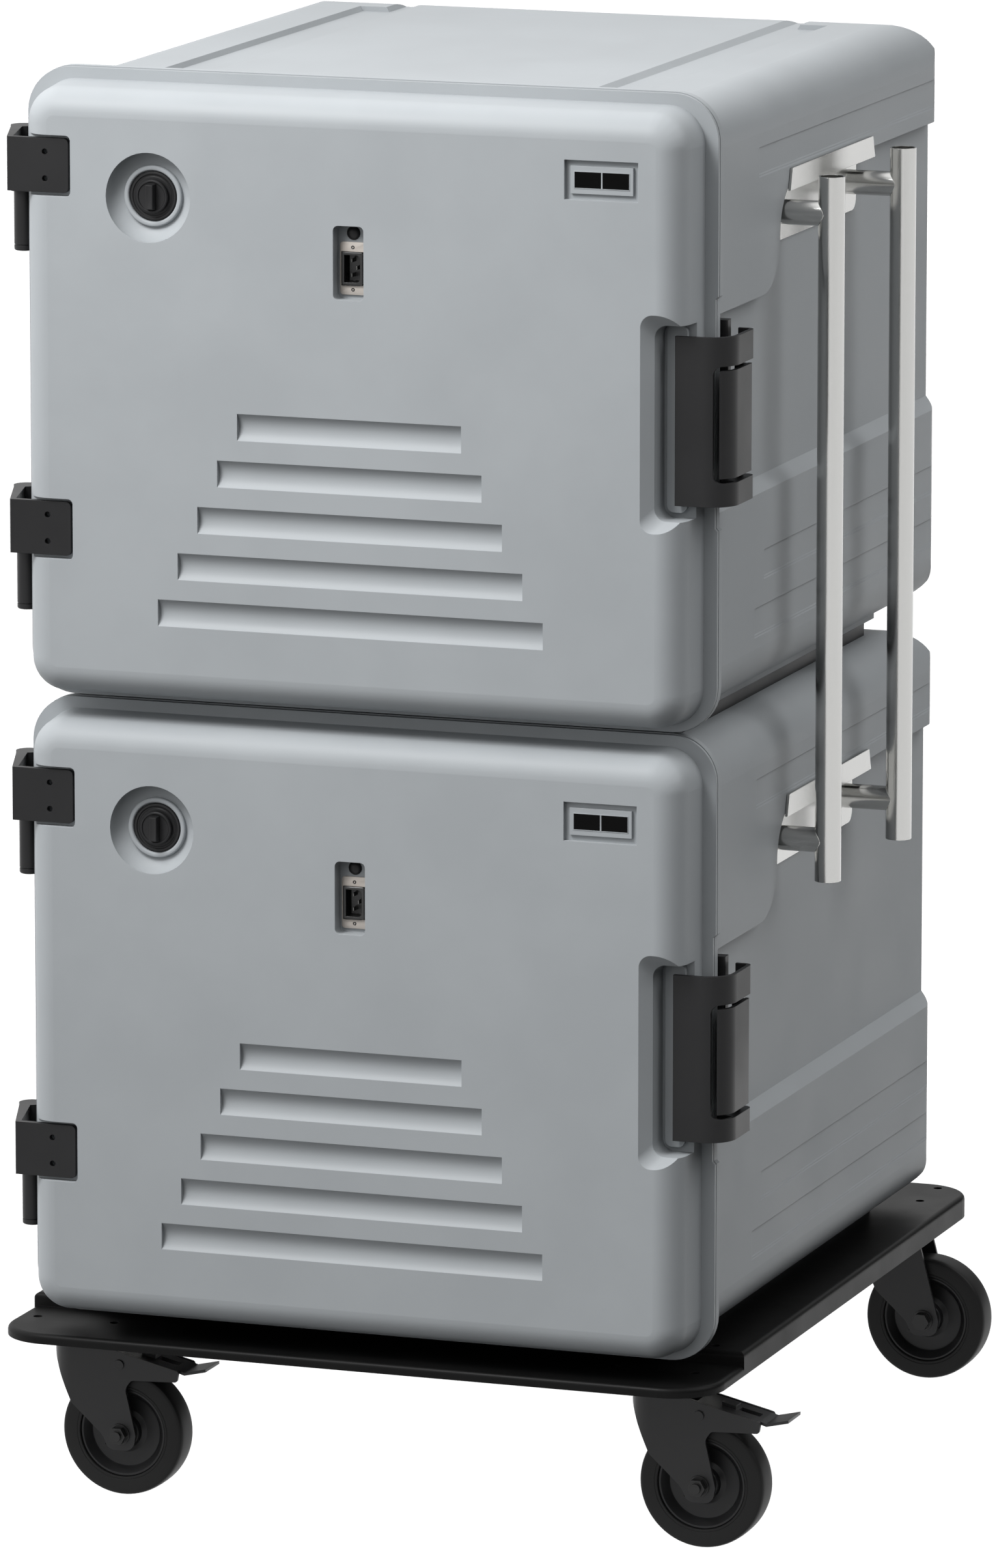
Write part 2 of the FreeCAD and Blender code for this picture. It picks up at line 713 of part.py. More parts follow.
def vent_ring():
    """Black ring on the floor of the dish; the knob's stem turns in its hole."""
    floor = -bulge_depth + vent_sink
    disc = rod(vent_ring_r, V(vent_x, floor, vent_z), V(vent_x, floor - vent_ring_t, vent_z))
    return disc.cut(rod(vent_stem_r + run_fit, V(vent_x, floor + 1, vent_z),
                        V(vent_x, floor - vent_ring_t - 1, vent_z)))


def vent_knob():
    """Turning disc with a grip bar and a stem into the door."""
    back = -bulge_depth + vent_sink - vent_ring_t - part_gap
    face = back - vent_knob_t
    disc = rod(vent_knob_r, V(vent_x, back, vent_z), V(vent_x, face, vent_z))
    stem = rod(vent_stem_r, V(vent_x, back, vent_z), V(vent_x, back + 12, vent_z))
    half = vent_grip_w / 2
    grip = prism(rectangle(vent_x - half, vent_x + half, vent_z - vent_grip_len / 2,
                           vent_z + vent_grip_len / 2), "xz", face - vent_grip_h, face + 1, 3.0)
    return join(disc, stem, grip)


def clasp_outline(outer_inset, thick):
    """Plan of a wall that runs along the front and bends round to the side."""
    side = clasp_side - outer_inset
    front = clasp_front + outer_inset
    return side, front, side - thick, front + thick


def latch_clasp():
    """Moulded clasp: a bent wall with a window, two webs and feet on the seat."""
    side, front, side_in, front_in = clasp_outline(0.0, clasp_t)
    rear_in = clasp_rear - clasp_t
    wall = prism([(clasp_x0, front), (side, front), (side, clasp_rear), (clasp_return, clasp_rear),
                  (clasp_return, rear_in), (side_in, rear_in), (side_in, front_in),
                  (clasp_x0, front_in)], "xy", clasp_low, clasp_high,
                 [0, clasp_r, clasp_hook_r, 0, 0, clasp_hook_r - clasp_t, clasp_r - clasp_t, 0])
    opening = prism([(window_x, window_low), (side + beyond, window_low),
                     (side + beyond, window_high), (window_x, window_high)], "xz",
                    front - beyond, clasp_rear + beyond, [window_r, 0, 0, window_r])
    rear_cut = block(clasp_return - 1, side + 1, 0.0, clasp_rear + 1, window_low, window_high)
    pieces = carve(wall, opening, rear_cut)
    for low in (window_low - clasp_t, window_high):
        web = block(lever_pin_x - lever_barrel_r, side_in + 1, front_in + clasp_r - clasp_t,
                    rear_in + 1, low, low + clasp_t)
        pieces = pieces.fuse(web)
    for low in (clasp_low + 8, (clasp_low + clasp_high) / 2 - 8, clasp_high - 24):
        foot = block(clasp_x0, seat_x1 - 1, front_in - 1, pocket_floor - seat_t, low, low + 16)
        pieces = pieces.fuse(foot)
    bore = rod(lever_pin_r + run_fit, V(lever_pin_x, lever_pin_y, clasp_low),
               V(lever_pin_x, lever_pin_y, clasp_high))
    return pieces.removeSplitter().cut(bore)


def latch_lever():
    """Paddle in the clasp's window, with a barrel and two short pins."""
    side, front, side_in, front_in = clasp_outline(lever_inset, clasp_t)
    low, high = window_low + lever_gap, window_high - lever_gap
    radius = clasp_r - lever_inset
    wall = prism([(window_x - beyond, front), (side, front), (side, lever_tail),
                  (side_in, lever_tail), (side_in, front_in), (window_x - beyond, front_in)],
                 "xy", low, high, [0, radius, 2.0, 0, radius - clasp_t, 0])
    start = window_x + lever_side_gap
    paddle = wall.common(block(start, side + beyond, front - 1, clasp_rear, low, high))
    centre = V(lever_pin_x, lever_pin_y, low)
    barrel = rod(lever_barrel_r, centre, V(lever_pin_x, lever_pin_y, high))
    bridge = block(lever_pin_x, side_in + 1, lever_pin_y - 3, lever_pin_y + 3, low, high)
    pins = rod(lever_pin_r, V(lever_pin_x, lever_pin_y, window_low - clasp_t),
               V(lever_pin_x, lever_pin_y, window_high + clasp_t))
    return join(paddle, barrel, bridge, pins)


def latch_keeper():
    """Upright bar on the body that the clasp closes round, on two feet."""
    bar = prism(rectangle(keeper_x0, keeper_x1, keeper_y0, keeper_y1), "xy",
                keeper_low, keeper_high, 2.0)
    for low in (keeper_low, keeper_high - keeper_foot_h):
        bar = bar.fuse(block(grip_x, keeper_x0 + 3, keeper_y0 + 1, keeper_y1 - 1,
                             low, low + keeper_foot_h))
    return bar.removeSplitter()


# ------------------------------------------------------------------ door hinges
def hinge_leaf(middle):
    """Leaf on the door, bent back in an arm to the knuckle round the pin."""
    low, high = middle - leaf_half_h, middle + leaf_half_h
    plate = prism(rectangle(leaf_left, leaf_right, low, high), "xz",
                  leaf_front, leaf_front + leaf_t, [0, leaf_corner_r, leaf_corner_r, 0])
    for side in (-1, 1):
        at = middle + side * leaf_hole_half
        plate = plate.cut(rod(leaf_hole_r, V(leaf_hole_x, leaf_front - 1, at),
                              V(leaf_hole_x, leaf_front + leaf_t + 1, at)))
    outer = hinge_x - knuckle_r
    bend = leaf_left + leaf_arm_t
    arm = prism([(leaf_left, leaf_front), (bend, leaf_front), (bend, leaf_front + leaf_t),
                 (hinge_x, hinge_y), (outer, hinge_y)], "xy", low, high, [1.5, 0, 0, 0, 0])
    knuckle = rod(knuckle_r, V(hinge_x, hinge_y, low), V(hinge_x, hinge_y, high))
    leaf = join(plate, arm, knuckle)
    return leaf.cut(rod(pin_r, V(hinge_x, hinge_y, low - 1), V(hinge_x, hinge_y, high - leaf_t)))


def hinge_pin(middle):
    """Pin held in the leaf, reaching down through the bracket's ring."""
    top = middle + leaf_half_h - leaf_t
    bottom = middle - leaf_half_h - pin_below
    pin = rod(pin_r, V(hinge_x, hinge_y, bottom), V(hinge_x, hinge_y, top))
    ring = rod(pin_r + 1, V(hinge_x, hinge_y, bottom + 5), V(hinge_x, hinge_y, bottom + 6.2))
    core = rod(pin_r - pin_groove, V(hinge_x, hinge_y, bottom), V(hinge_x, hinge_y, top))
    pin = pin.cut(ring.cut(core))
    tip = [e for e in pin.Edges if abs(e.BoundBox.ZMax - bottom) < 1e-4]
    return pin.makeFillet(2.0, tip)


def hinge_bracket(middle):
    """Ring under the leaf on a plate that is screwed to the body."""
    top = middle - leaf_half_h - part_gap
    low = top - bracket_ring_h
    ring = rod(knuckle_r + 1, V(hinge_x, hinge_y, low), V(hinge_x, hinge_y, top))
    bridge = block(hinge_x, -body_half_w - 1, hinge_y - knuckle_r, hinge_y + knuckle_r, low, top)
    centre = middle - bracket_drop
    plate = prism(rectangle(bracket_y0, bracket_y1, centre - bracket_half_h,
                            centre + bracket_half_h), "yz",
                  -body_half_w - bracket_plate_t, -body_half_w, 4.0)
    solid = join(ring, bridge, plate)
    for side in (-1, 1):
        at = centre + side * (bracket_half_h - 12)
        y = (bracket_y0 + bracket_y1) / 2
        head = rod(bracket_screw_r, V(-body_half_w - bracket_plate_t - 2, y, at),
                   V(-body_half_w - 1, y, at))
        solid = solid.fuse(head)
    bore = rod(pin_r + run_fit, V(hinge_x, hinge_y, low - 1), V(hinge_x, hinge_y, top + 1))
    return solid.removeSplitter().cut(bore)


def hinge_set(piece):
    return Part.makeCompound([piece(middle) for middle in hinge_z])


# ------------------------------------------------------------------ heater and fan
def fan_centre():
    return V(0, 0, (heater_low + heater_high) / 2)


def heater_unit():
    """Cover on the warm side of the door, with motor, coil and air slots."""
    centre = fan_centre()
    rear = pan_face + heater_depth
    cover = prism(rectangle(-heater_half_w, heater_half_w, heater_low, heater_high), "xz",
                  pan_face, rear, 12.0)
    inner = heater_half_w - heater_wall
    cover = cover.cut(prism(rectangle(-inner, inner, heater_low + heater_wall,
                                      heater_high - heater_wall), "xz",
                            pan_face - 1, rear - heater_wall, 12.0 - heater_wall))
    front_y, back_y = rear - heater_wall - 1, rear + 1
    mouth = rod(fan_mouth_r, V(0, front_y, centre.z), V(0, back_y, centre.z))
    for ring_r in guard_rings:
        ring = rod(ring_r, V(0, front_y, centre.z), V(0, back_y, centre.z))
        ring = ring.cut(rod(ring_r - guard_w, V(0, front_y, centre.z), V(0, back_y, centre.z)))
        mouth = mouth.cut(ring)
    reach = fan_mouth_r + 1
    for wide, tall in ((reach, guard_w / 2), (guard_w / 2, reach)):
        mouth = mouth.cut(block(-wide, wide, front_y, back_y, centre.z - tall, centre.z + tall))
    cover = cover.cut(mouth)
    first = centre.z - (slot_count - 1) * slot_h
    for side in (-1, 1):
        for i in range(slot_count):
            z = first + i * 2 * slot_h
            x = side * (heater_half_w - slot_w / 2 - 10)
            cover = cover.cut(block(x - slot_w / 2, x + slot_w / 2, rear - heater_wall - 1,
                                    rear + 1, z - slot_h / 2, z + slot_h / 2))
    motor = rod(motor_r, V(0, pan_face, centre.z), V(0, pan_face + motor_len, centre.z))
    spindle = rod(fan_shaft_r, V(0, pan_face, centre.z), V(0, rear - heater_wall - 6, centre.z))
    coil = Part.makeTorus(coil_r, coil_tube_r, V(0, pan_face + coil_tube_r, centre.z), V(0, 1, 0))
    return Part.makeCompound([cover, join(motor, spindle), coil])


def fan_wheel():
    """Bladed wheel that turns on the motor's spindle."""
    centre = fan_centre()
    back = pan_face + motor_len + part_gap
    face = back + fan_width
    wheel = rod(fan_hub_r, V(0, back, centre.z), V(0, face, centre.z))
    wheel = wheel.fuse(rod(fan_r, V(0, back, centre.z), V(0, back + 2, centre.z)))
    for i in range(fan_blades):
        blade = block(fan_hub_r - 1, fan_r - 1, back + 1, face, centre.z - 1, centre.z + 1)
        blade.rotate(V(fan_hub_r, 0, centre.z), V(0, 1, 0), 20)
        blade.rotate(centre, V(0, 1, 0), i * 360.0 / fan_blades)
        wheel = wheel.fuse(blade)
    bore = rod(fan_shaft_r + run_fit, V(0, back - 1, centre.z), V(0, face + 1, centre.z))
    return wheel.removeSplitter().cut(bore)


# ------------------------------------------------------------------ push handle
def tube(outer, wall, base, tip):
    return rod(outer, base, tip).cut(rod(outer - wall, base, tip))


def push_tubes():
    low = box_feet["lower"] + arm_z - tube_below
    high = box_feet["upper"] + arm_z + tube_above
    return Part.makeCompound([tube(tube_r, tube_wall, V(tube_x, y, low), V(tube_x, y, high))
                              for y in arm_y])


def hook_plate(foot):
    """Sheet bracket in the side recess, bent out and up round the band's lip."""
    inner = grip_x
    outer = body_half_w + part_gap
    low, high = foot + hook_low, foot + hook_high
    plate = prism([(hook_y0 + 15, low), (hook_y1, low), (hook_y1, high), (hook_y0 + 35, high),
                   (hook_y0, low + 15)], "yz", inner, inner + hook_t,
                  [hook_corner_r, hook_corner_r, 0, 0, hook_corner_r / 2])
    shelf = block(inner, outer + hook_t, hook_lip_y0 + hook_corner_r, hook_lip_y1, high,
                  high + hook_t)
    lip = prism([(hook_lip_y0, high), (hook_lip_y1, high), (hook_lip_y1 - hook_slant,
                high + hook_lip_h), (hook_lip_y0 + hook_slant, high + hook_lip_h)],
                "yz", outer, outer + hook_t, [0, 0, 3.0, 3.0])
    return join(plate, shelf, lip)


def push_frame():
    """Two hooked brackets and the four arms, saddle-cut to the tubes."""
    pieces = []
    start = grip_x + hook_t
    for foot in box_feet.values():
        pieces.append(hook_plate(foot))
        for y in arm_y:
            z = foot + arm_z
            arm = tube(arm_r, arm_wall, V(start, y, z), V(tube_x, y, z))
            saddle = rod(tube_r, V(tube_x, y, z - 2 * tube_r), V(tube_x, y, z + 2 * tube_r))
            pieces.append(arm.cut(saddle))
    return Part.makeCompound(pieces)


# ------------------------------------------------------------------ deck and casters
def deck():
    """Moulded deck: raised platform with a lower strip along the front."""
    body = prism(rectangle(deck_x0, deck_x1, deck_y0, deck_y1), "xy",
                 deck_low, deck_top, deck_corner_r)
    strip = deck_top - deck_step
    body = body.cut(block(deck_x0 - 1, deck_x1 + 1, deck_y0 - 1, deck_step_y, strip, deck_top + 1))
    rim = []
    for e in body.Edges:
        box = e.BoundBox
        flat = box.ZMax - box.ZMin < 1e-4
        top = abs(box.ZMax - deck_top) < 1e-4
        front = abs(box.ZMax - strip) < 1e-4 and box.YMax < deck_step_y + 1e-4
        crease = abs(box.YMin - deck_step_y) < 1e-4 and abs(box.ZMax - strip) < 1e-4
        if flat and (top or front) and not crease:
            rim.append(e)
    body = body.makeFillet(deck_edge_r, rim)
    for x, y in bolt_places():
        body = body.cut(rod(bolt_hole_r, V(x, y, deck_low - 1), V(x, y, deck_top + 1)))
    return body


def bolt_places():
    places = []
    for cx in caster_x:
        for cy in caster_y:
            for dx in (-bolt_dx / 2, bolt_dx / 2):
                for dy in (-bolt_dy / 2, bolt_dy / 2):
                    places.append((cx + dx, cy + dy))
    return places


def caster_plates():
    """Top plates, each with its race and the headed king pin."""
    plates = []
    king_low = fork_top - fork_web - race_gap - king_head_h
    for cx in caster_x:
        for cy in caster_y:
            solid = prism(rectangle(cx - plate_len / 2, cx + plate_len / 2, cy - plate_wid / 2,
                                    cy + plate_wid / 2), "xy", plate_low, deck_low, 8.0)
            solid = solid.fuse(rod(race_r, V(cx, cy, plate_low - race_h), V(cx, cy, plate_low)))
            solid = solid.fuse(rod(king_r, V(cx, cy, king_low), V(cx, cy, plate_low)))
            solid = solid.fuse(rod(king_head_r, V(cx, cy, king_low),
                                   V(cx, cy, king_low + king_head_h)))
            solid = solid.removeSplitter()
            for x, y in bolt_places():
                if abs(x - cx) < bolt_dx and abs(y - cy) < bolt_dy:
                    solid = solid.cut(rod(bolt_hole_r, V(x, y, plate_low - 1),
                                          V(x, y, deck_low + 1)))
            plates.append(solid)
    return Part.makeCompound(plates)


def caster_bolts():
    """Bolts from below through plate and deck, ending inside the deck's holes."""
    bolts = []
    for x, y in bolt_places():
        surface = deck_top - (deck_step if y < deck_step_y else 0.0)
        shank = rod(bolt_r, V(x, y, plate_low - 1), V(x, y, surface - bolt_sink))
        head = prism([(x + bolt_head_r * math.cos(math.radians(60 * i)),
                       y + bolt_head_r * math.sin(math.radians(60 * i))) for i in range(6)],
                     "xy", plate_low - bolt_head_h, plate_low)
        bolts.append(join(shank, head))
    return Part.makeCompound(bolts)


def fork(cx, cy, braked):
    """Pressed fork: crown, rounded front wall and two cheeks that hold the axle."""
    ax = cx + trail
    line = fork_back_line + fork_foot_line
    rounds = [0, 0, fork_mid_r, fork_big_r, 2 * fork_big_r, fork_big_r, fork_big_r, 0]
    if braked:
        line += fork_brake_line
        rounds += [fork_mid_r, 2 * fork_small_r, fork_small_r, fork_small_r, fork_mid_r, 0, 0]
    else:
        line += fork_plain_line
        rounds += [fork_small_r, 0]
    profile = [(ax + fork_front, fork_top)] + [(ax + dx, z) for dx, z in line]
    cheek = prism(profile, "xz", cy - fork_half_w, cy + fork_half_w, rounds)
    front_r = fork_half_w - 0.01
    far = ax + wheel_r + beyond
    plan = prism(rectangle(ax + fork_front, far, cy - fork_half_w, cy + fork_half_w), "xy",
                 0, fork_top, [front_r, 0, 0, front_r])
    inner_half = fork_half_w - fork_t
    hollow = prism(rectangle(ax + fork_front + fork_t, far + beyond, cy - inner_half,
                             cy + inner_half), "xy", 0, fork_top - fork_web,
                   [front_r - fork_t, 0, 0, front_r - fork_t])
    solid = cheek.common(plan).cut(hollow)
    crown = rod(crown_r, V(cx, cy, fork_top - fork_web),
                V(cx, cy, plate_low - race_h - race_gap))
    solid = join(solid, crown)
    solid = solid.cut(rod(king_r + run_fit, V(cx, cy, 0), V(cx, cy, deck_top)))
    solid = solid.cut(rod(axle_r, V(ax, cy - beyond - fork_half_w, wheel_z),
                          V(ax, cy + beyond + fork_half_w, wheel_z)))
    outer = fork_half_w + rivet_head_h
    heads = [rod(rivet_head_r, V(ax, cy - outer, rivet_z), V(ax, cy - fork_half_w + 1, rivet_z)),
             rod(rivet_head_r, V(ax, cy + fork_half_w - 1, rivet_z), V(ax, cy + outer, rivet_z))]
    if braked:
        pin = rod(rivet_r, V(ax, cy - outer, rivet_z), V(ax, cy + outer, rivet_z))
        return join(solid, pin, *heads)
    return solid


def wheel_profile(points, ax, cy):
    """Body of revolution on the axle line, mirrored about the wheel's middle."""
    ring = points + [(r, -y) for r, y in reversed(points)]
    corners = [V(r, y, 0) for r, y in ring]
    face = Part.Face(Part.makePolygon(corners + [corners[0]]))
    solid = face.revolve(V(0, 0, 0), V(0, 1, 0), 360)
    solid.translate(V(ax, cy, wheel_z))
    return solid


def tyre(ax, cy):
    half = wheel_w / 2
    solid = rod(wheel_r, V(ax, cy - half, wheel_z), V(ax, cy + half, wheel_z))
    solid = solid.cut(rod(tyre_in_r, V(ax, cy - half - 1, wheel_z), V(ax, cy + half + 1, wheel_z)))
    edge = [e for e in solid.Edges
            if abs(e.Length - 2 * math.pi * wheel_r) < 1e-3]
    return solid.makeFillet(tyre_edge_r, edge)


def wheel_hub(ax, cy):
    """Hub with a deep dish on each side and a bored boss."""
    bore = axle_r + run_fit
    return wheel_profile([(bore, -hub_boss_w / 2), (hub_boss_r, -hub_boss_w / 2),
                          (hub_boss_r + 1.5, -hub_web_w / 2), (hub_rim_r - 1.5, -hub_web_w / 2),
                          (hub_rim_r, -hub_rim_w / 2), (tyre_in_r, -hub_rim_w / 2)], ax, cy)


def axle(ax, cy, nut_side):
    """Bolt through cheeks and hub: washers, head on one side, nut on the other."""
    cheek = fork_half_w
    near, far = cy - cheek, cy + cheek
    shaft = rod(axle_r, V(ax, near - washer_t, wheel_z), V(ax, far + washer_t, wheel_z))
    pieces = [shaft,
              rod(washer_r, V(ax, near - washer_t, wheel_z), V(ax, near, wheel_z)),
              rod(washer_r, V(ax, far, wheel_z), V(ax, far + washer_t, wheel_z)),
              hexagon(nut_r, V(ax, near - washer_t - nut_h, wheel_z), V(ax, near - washer_t, wheel_z)),
              hexagon(nut_r, V(ax, far + washer_t, wheel_z), V(ax, far + washer_t + nut_h, wheel_z))]
    tip = washer_t + nut_h
    if nut_side < 0:
        pieces.append(rod(axle_r, V(ax, near - tip - thread_end, wheel_z), V(ax, near - tip + 1, wheel_z)))
    else:
        pieces.append(rod(axle_r, V(ax, far + tip - 1, wheel_z), V(ax, far + tip + thread_end, wheel_z)))
    return join(*pieces)


def brake_pedal(cx, cy):
    """Cover between the cheeks with a slot, a clip and a foot tab, hung on the rivet."""
    ax = cx + trail
    top = [(ax + dx, z) for dx, z in pedal_line]
    slope = top + [(x, z - pedal_t) for x, z in reversed(top)]
    cover = prism(slope, "xz", cy - pedal_half_w, cy + pedal_half_w)
    pieces = []
    (x0, z0), (x1, z1) = top[0], top[1]
    fall = (z1 - z0) / (x1 - x0)
    cover = cover.cut(block(ax + pedal_slot_x0, ax + pedal_slot_x1, cy - pedal_slot_half_w,
                            cy + pedal_slot_half_w, shoe_low - 2 * pedal_t, fork_top))
    clip_ends = [(x, z0 + fall * (x - x0)) for x in (ax + pedal_clip_x0, ax + pedal_clip_x1)]
    clip = [(x, z - pedal_t / 2) for x, z in clip_ends]
    clip += [(x, z + pedal_clip_h) for x, z in reversed(clip_ends)]
    pieces.append(prism(clip, "xz", cy - pedal_clip_half_w, cy + pedal_clip_half_w))
    lug_x = x0 + pedal_lug_long
    lug_z = z0 + fall * pedal_lug_long
    for y0, y1 in ((cy - pedal_half_w, cy - pedal_half_w + pedal_t),
                   (cy + pedal_half_w - pedal_t, cy + pedal_half_w)):
        lug = prism([(x0, z0 - pedal_t / 2), (lug_x, lug_z - pedal_t / 2),
                     (ax + pedal_eye_r, rivet_z), (ax - pedal_eye_r, rivet_z)], "xz", y0, y1)
        eye = rod(pedal_eye_r, V(ax, y0, rivet_z), V(ax, y1, rivet_z))
        pieces += [lug, eye]
    shoe = block(ax + shoe_from, ax + shoe_to, cy - pedal_half_w + pedal_t,
                 cy + pedal_half_w - pedal_t, shoe_low, shoe_high)
    solid = join(cover, *pieces, shoe)
    clear = rod(wheel_r + tyre_clear, V(ax, cy - pedal_half_w - 1, wheel_z),
                V(ax, cy + pedal_half_w + 1, wheel_z))
    hole = rod(rivet_r + run_fit, V(ax, cy - pedal_half_w - 1, rivet_z),
               V(ax, cy + pedal_half_w + 1, rivet_z))
    return solid.cut(clear).cut(hole)


def stacking_spacers():
    """Strips between the lower box's top and the upper box's runners."""
    strips = []
    low = box_feet["lower"] + body_high
    high = box_feet["upper"]
    for x0, x1 in ((channel_out + spacer_inset, foot_out), (-foot_out, -channel_out - spacer_inset)):
        strips.append(block(x0, x1, foot_front + spacer_inset, channel_neck_from - spacer_inset,
                            low, high))
    return Part.makeCompound(strips)


# ------------------------------------------------------------------ assembly
def box_pieces():
    """Every piece of one box, with the box's foot at Z = 0."""
    return {
        "shell": shell(), "insulation": insulation(), "liner": liner(),
        "door_shell": door_shell(), "door_liner": door_liner(), "door_seal": door_seal(),
        "hinge_leaves": hinge_set(hinge_leaf), "hinge_pins": hinge_set(hinge_pin),
        "hinge_brackets": hinge_set(hinge_bracket),
        "latch_clasp": latch_clasp(), "latch_lever": latch_lever(),
        "latch_keeper": latch_keeper(), "vent_ring": vent_ring(), "vent_knob": vent_knob(),
        "display": Part.makeCompound(display_windows()), "power_inlet": power_inlet(),
        "fan_wheel": fan_wheel(), "heater_unit": heater_unit(),
    }


def all_pieces():
    nodes = {}
    one_box = box_pieces()
    for level, foot in box_feet.items():
        for name, shape in one_box.items():
            copy = shape.copy()
            copy.translate(V(0, 0, foot))
            nodes[level + "_" + name] = copy
    nodes["deck"] = deck()
    nodes["stacking_spacers"] = stacking_spacers()
    nodes["caster_plates"] = caster_plates()
    nodes["caster_bolts"] = caster_bolts()
    nodes["push_tubes"] = push_tubes()
    nodes["push_frame"] = push_frame()
    for side, cx in zip(("left", "right"), caster_x):
        for end, cy in zip(("front", "rear"), caster_y):
            name = end + "_" + side
            braked = end == "front"
            nodes["fork_" + name] = fork(cx, cy, braked)
            nodes["tyre_" + name] = tyre(cx + trail, cy)
            nodes["hub_" + name] = wheel_hub(cx + trail, cy)
            nodes["axle_" + name] = axle(cx + trail, cy, -1 if braked else 1)
            if braked:
                nodes["brake_pedal_" + name] = brake_pedal(cx, cy)
    return nodes


def main():
    os.makedirs("parts", exist_ok=True)
    nodes = all_pieces()
    whole = FreeCAD.BoundBox()
    for shape in nodes.values():
        whole.add(shape.optimalBoundingBox(False, False))
    shift = V(-(whole.XMin + whole.XMax) / 2, -(whole.YMin + whole.YMax) / 2, 0)
    print("origin shift", round(shift.x, 4), round(shift.y, 4), "nodes", len(nodes))
    for name, shape in sorted(nodes.items()):
        shape.translate(shift)
        bad = [s for s in shape.Solids if not s.isValid()]
        if bad or not shape.Solids:
            print("CHECK", name, "solids", len(shape.Solids), "invalid", len(bad))
        shape.exportStep("parts/" + name + ".step")


main()
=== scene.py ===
"""Enclosed meal tray cart: two insulated, heated meal boxes on a caster deck, dressed for looks.

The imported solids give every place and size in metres. This file gives them their finishes,
adds the small fittings that sit on them, and sets up a pale studio round the cart.
"""
import logging
import math
from dataclasses import dataclass, field
from enum import Enum
from typing import Callable

import bmesh
import bpy
from mathutils import Euler, Matrix, Vector


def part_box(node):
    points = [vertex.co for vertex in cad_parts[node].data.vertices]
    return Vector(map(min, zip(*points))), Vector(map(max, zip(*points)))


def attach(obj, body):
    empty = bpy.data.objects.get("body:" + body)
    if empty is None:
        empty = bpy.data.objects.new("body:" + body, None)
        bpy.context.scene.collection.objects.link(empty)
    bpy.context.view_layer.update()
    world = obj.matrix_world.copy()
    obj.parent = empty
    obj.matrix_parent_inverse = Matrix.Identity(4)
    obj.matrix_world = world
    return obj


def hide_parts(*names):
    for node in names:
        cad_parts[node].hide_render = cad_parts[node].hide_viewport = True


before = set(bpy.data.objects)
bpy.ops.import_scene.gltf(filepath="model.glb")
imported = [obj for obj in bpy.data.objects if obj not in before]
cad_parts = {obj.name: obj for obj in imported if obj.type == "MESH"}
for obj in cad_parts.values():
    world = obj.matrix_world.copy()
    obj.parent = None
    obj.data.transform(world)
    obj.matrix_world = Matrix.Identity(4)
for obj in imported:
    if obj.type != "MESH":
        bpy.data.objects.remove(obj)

logging.basicConfig(level=logging.INFO, format="%(name)s: %(message)s")
log = logging.getLogger("tray_cart")

MM = 0.001
LEVELS = ("lower", "upper")
CORNERS = ("front_left", "front_right", "rear_left", "rear_right")


# --------------------------------------------------------------------------- finishes
def linear(colour: str) -> tuple[float, float, float, float]:
    """Turn an sRGB hex colour into the linear values that a shader takes.

    Args:
        colour: six hex digits with a leading #.

    Returns:
        Red, green, blue and an alpha of one.
    """
    parts = [int(colour[i:i + 2], 16) / 255 for i in (1, 3, 5)]
    curve = [c / 12.92 if c <= 0.04045 else ((c + 0.055) / 1.055) ** 2.4 for c in parts]
    return (curve[0], curve[1], curve[2], 1.0)


def add(tree: bpy.types.NodeTree, kind: str, settings: dict, links: dict) -> bpy.types.Node:
    """Add a shader node, set its properties and sockets, and link its inputs.

    Args:
        tree: the material's node tree.
        kind: Blender's name of the node type.
        settings: property or input names with their values.
        links: input names with the output sockets that feed them.

    Returns:
        The new node.
    """
    made = tree.nodes.new(kind)
    for key, value in settings.items():
        if isinstance(key, str) and hasattr(made, key):
            setattr(made, key, value)
        else:
            made.inputs[key].default_value = value
    for key, output in links.items():
        tree.links.new(output, made.inputs[key])
    return made


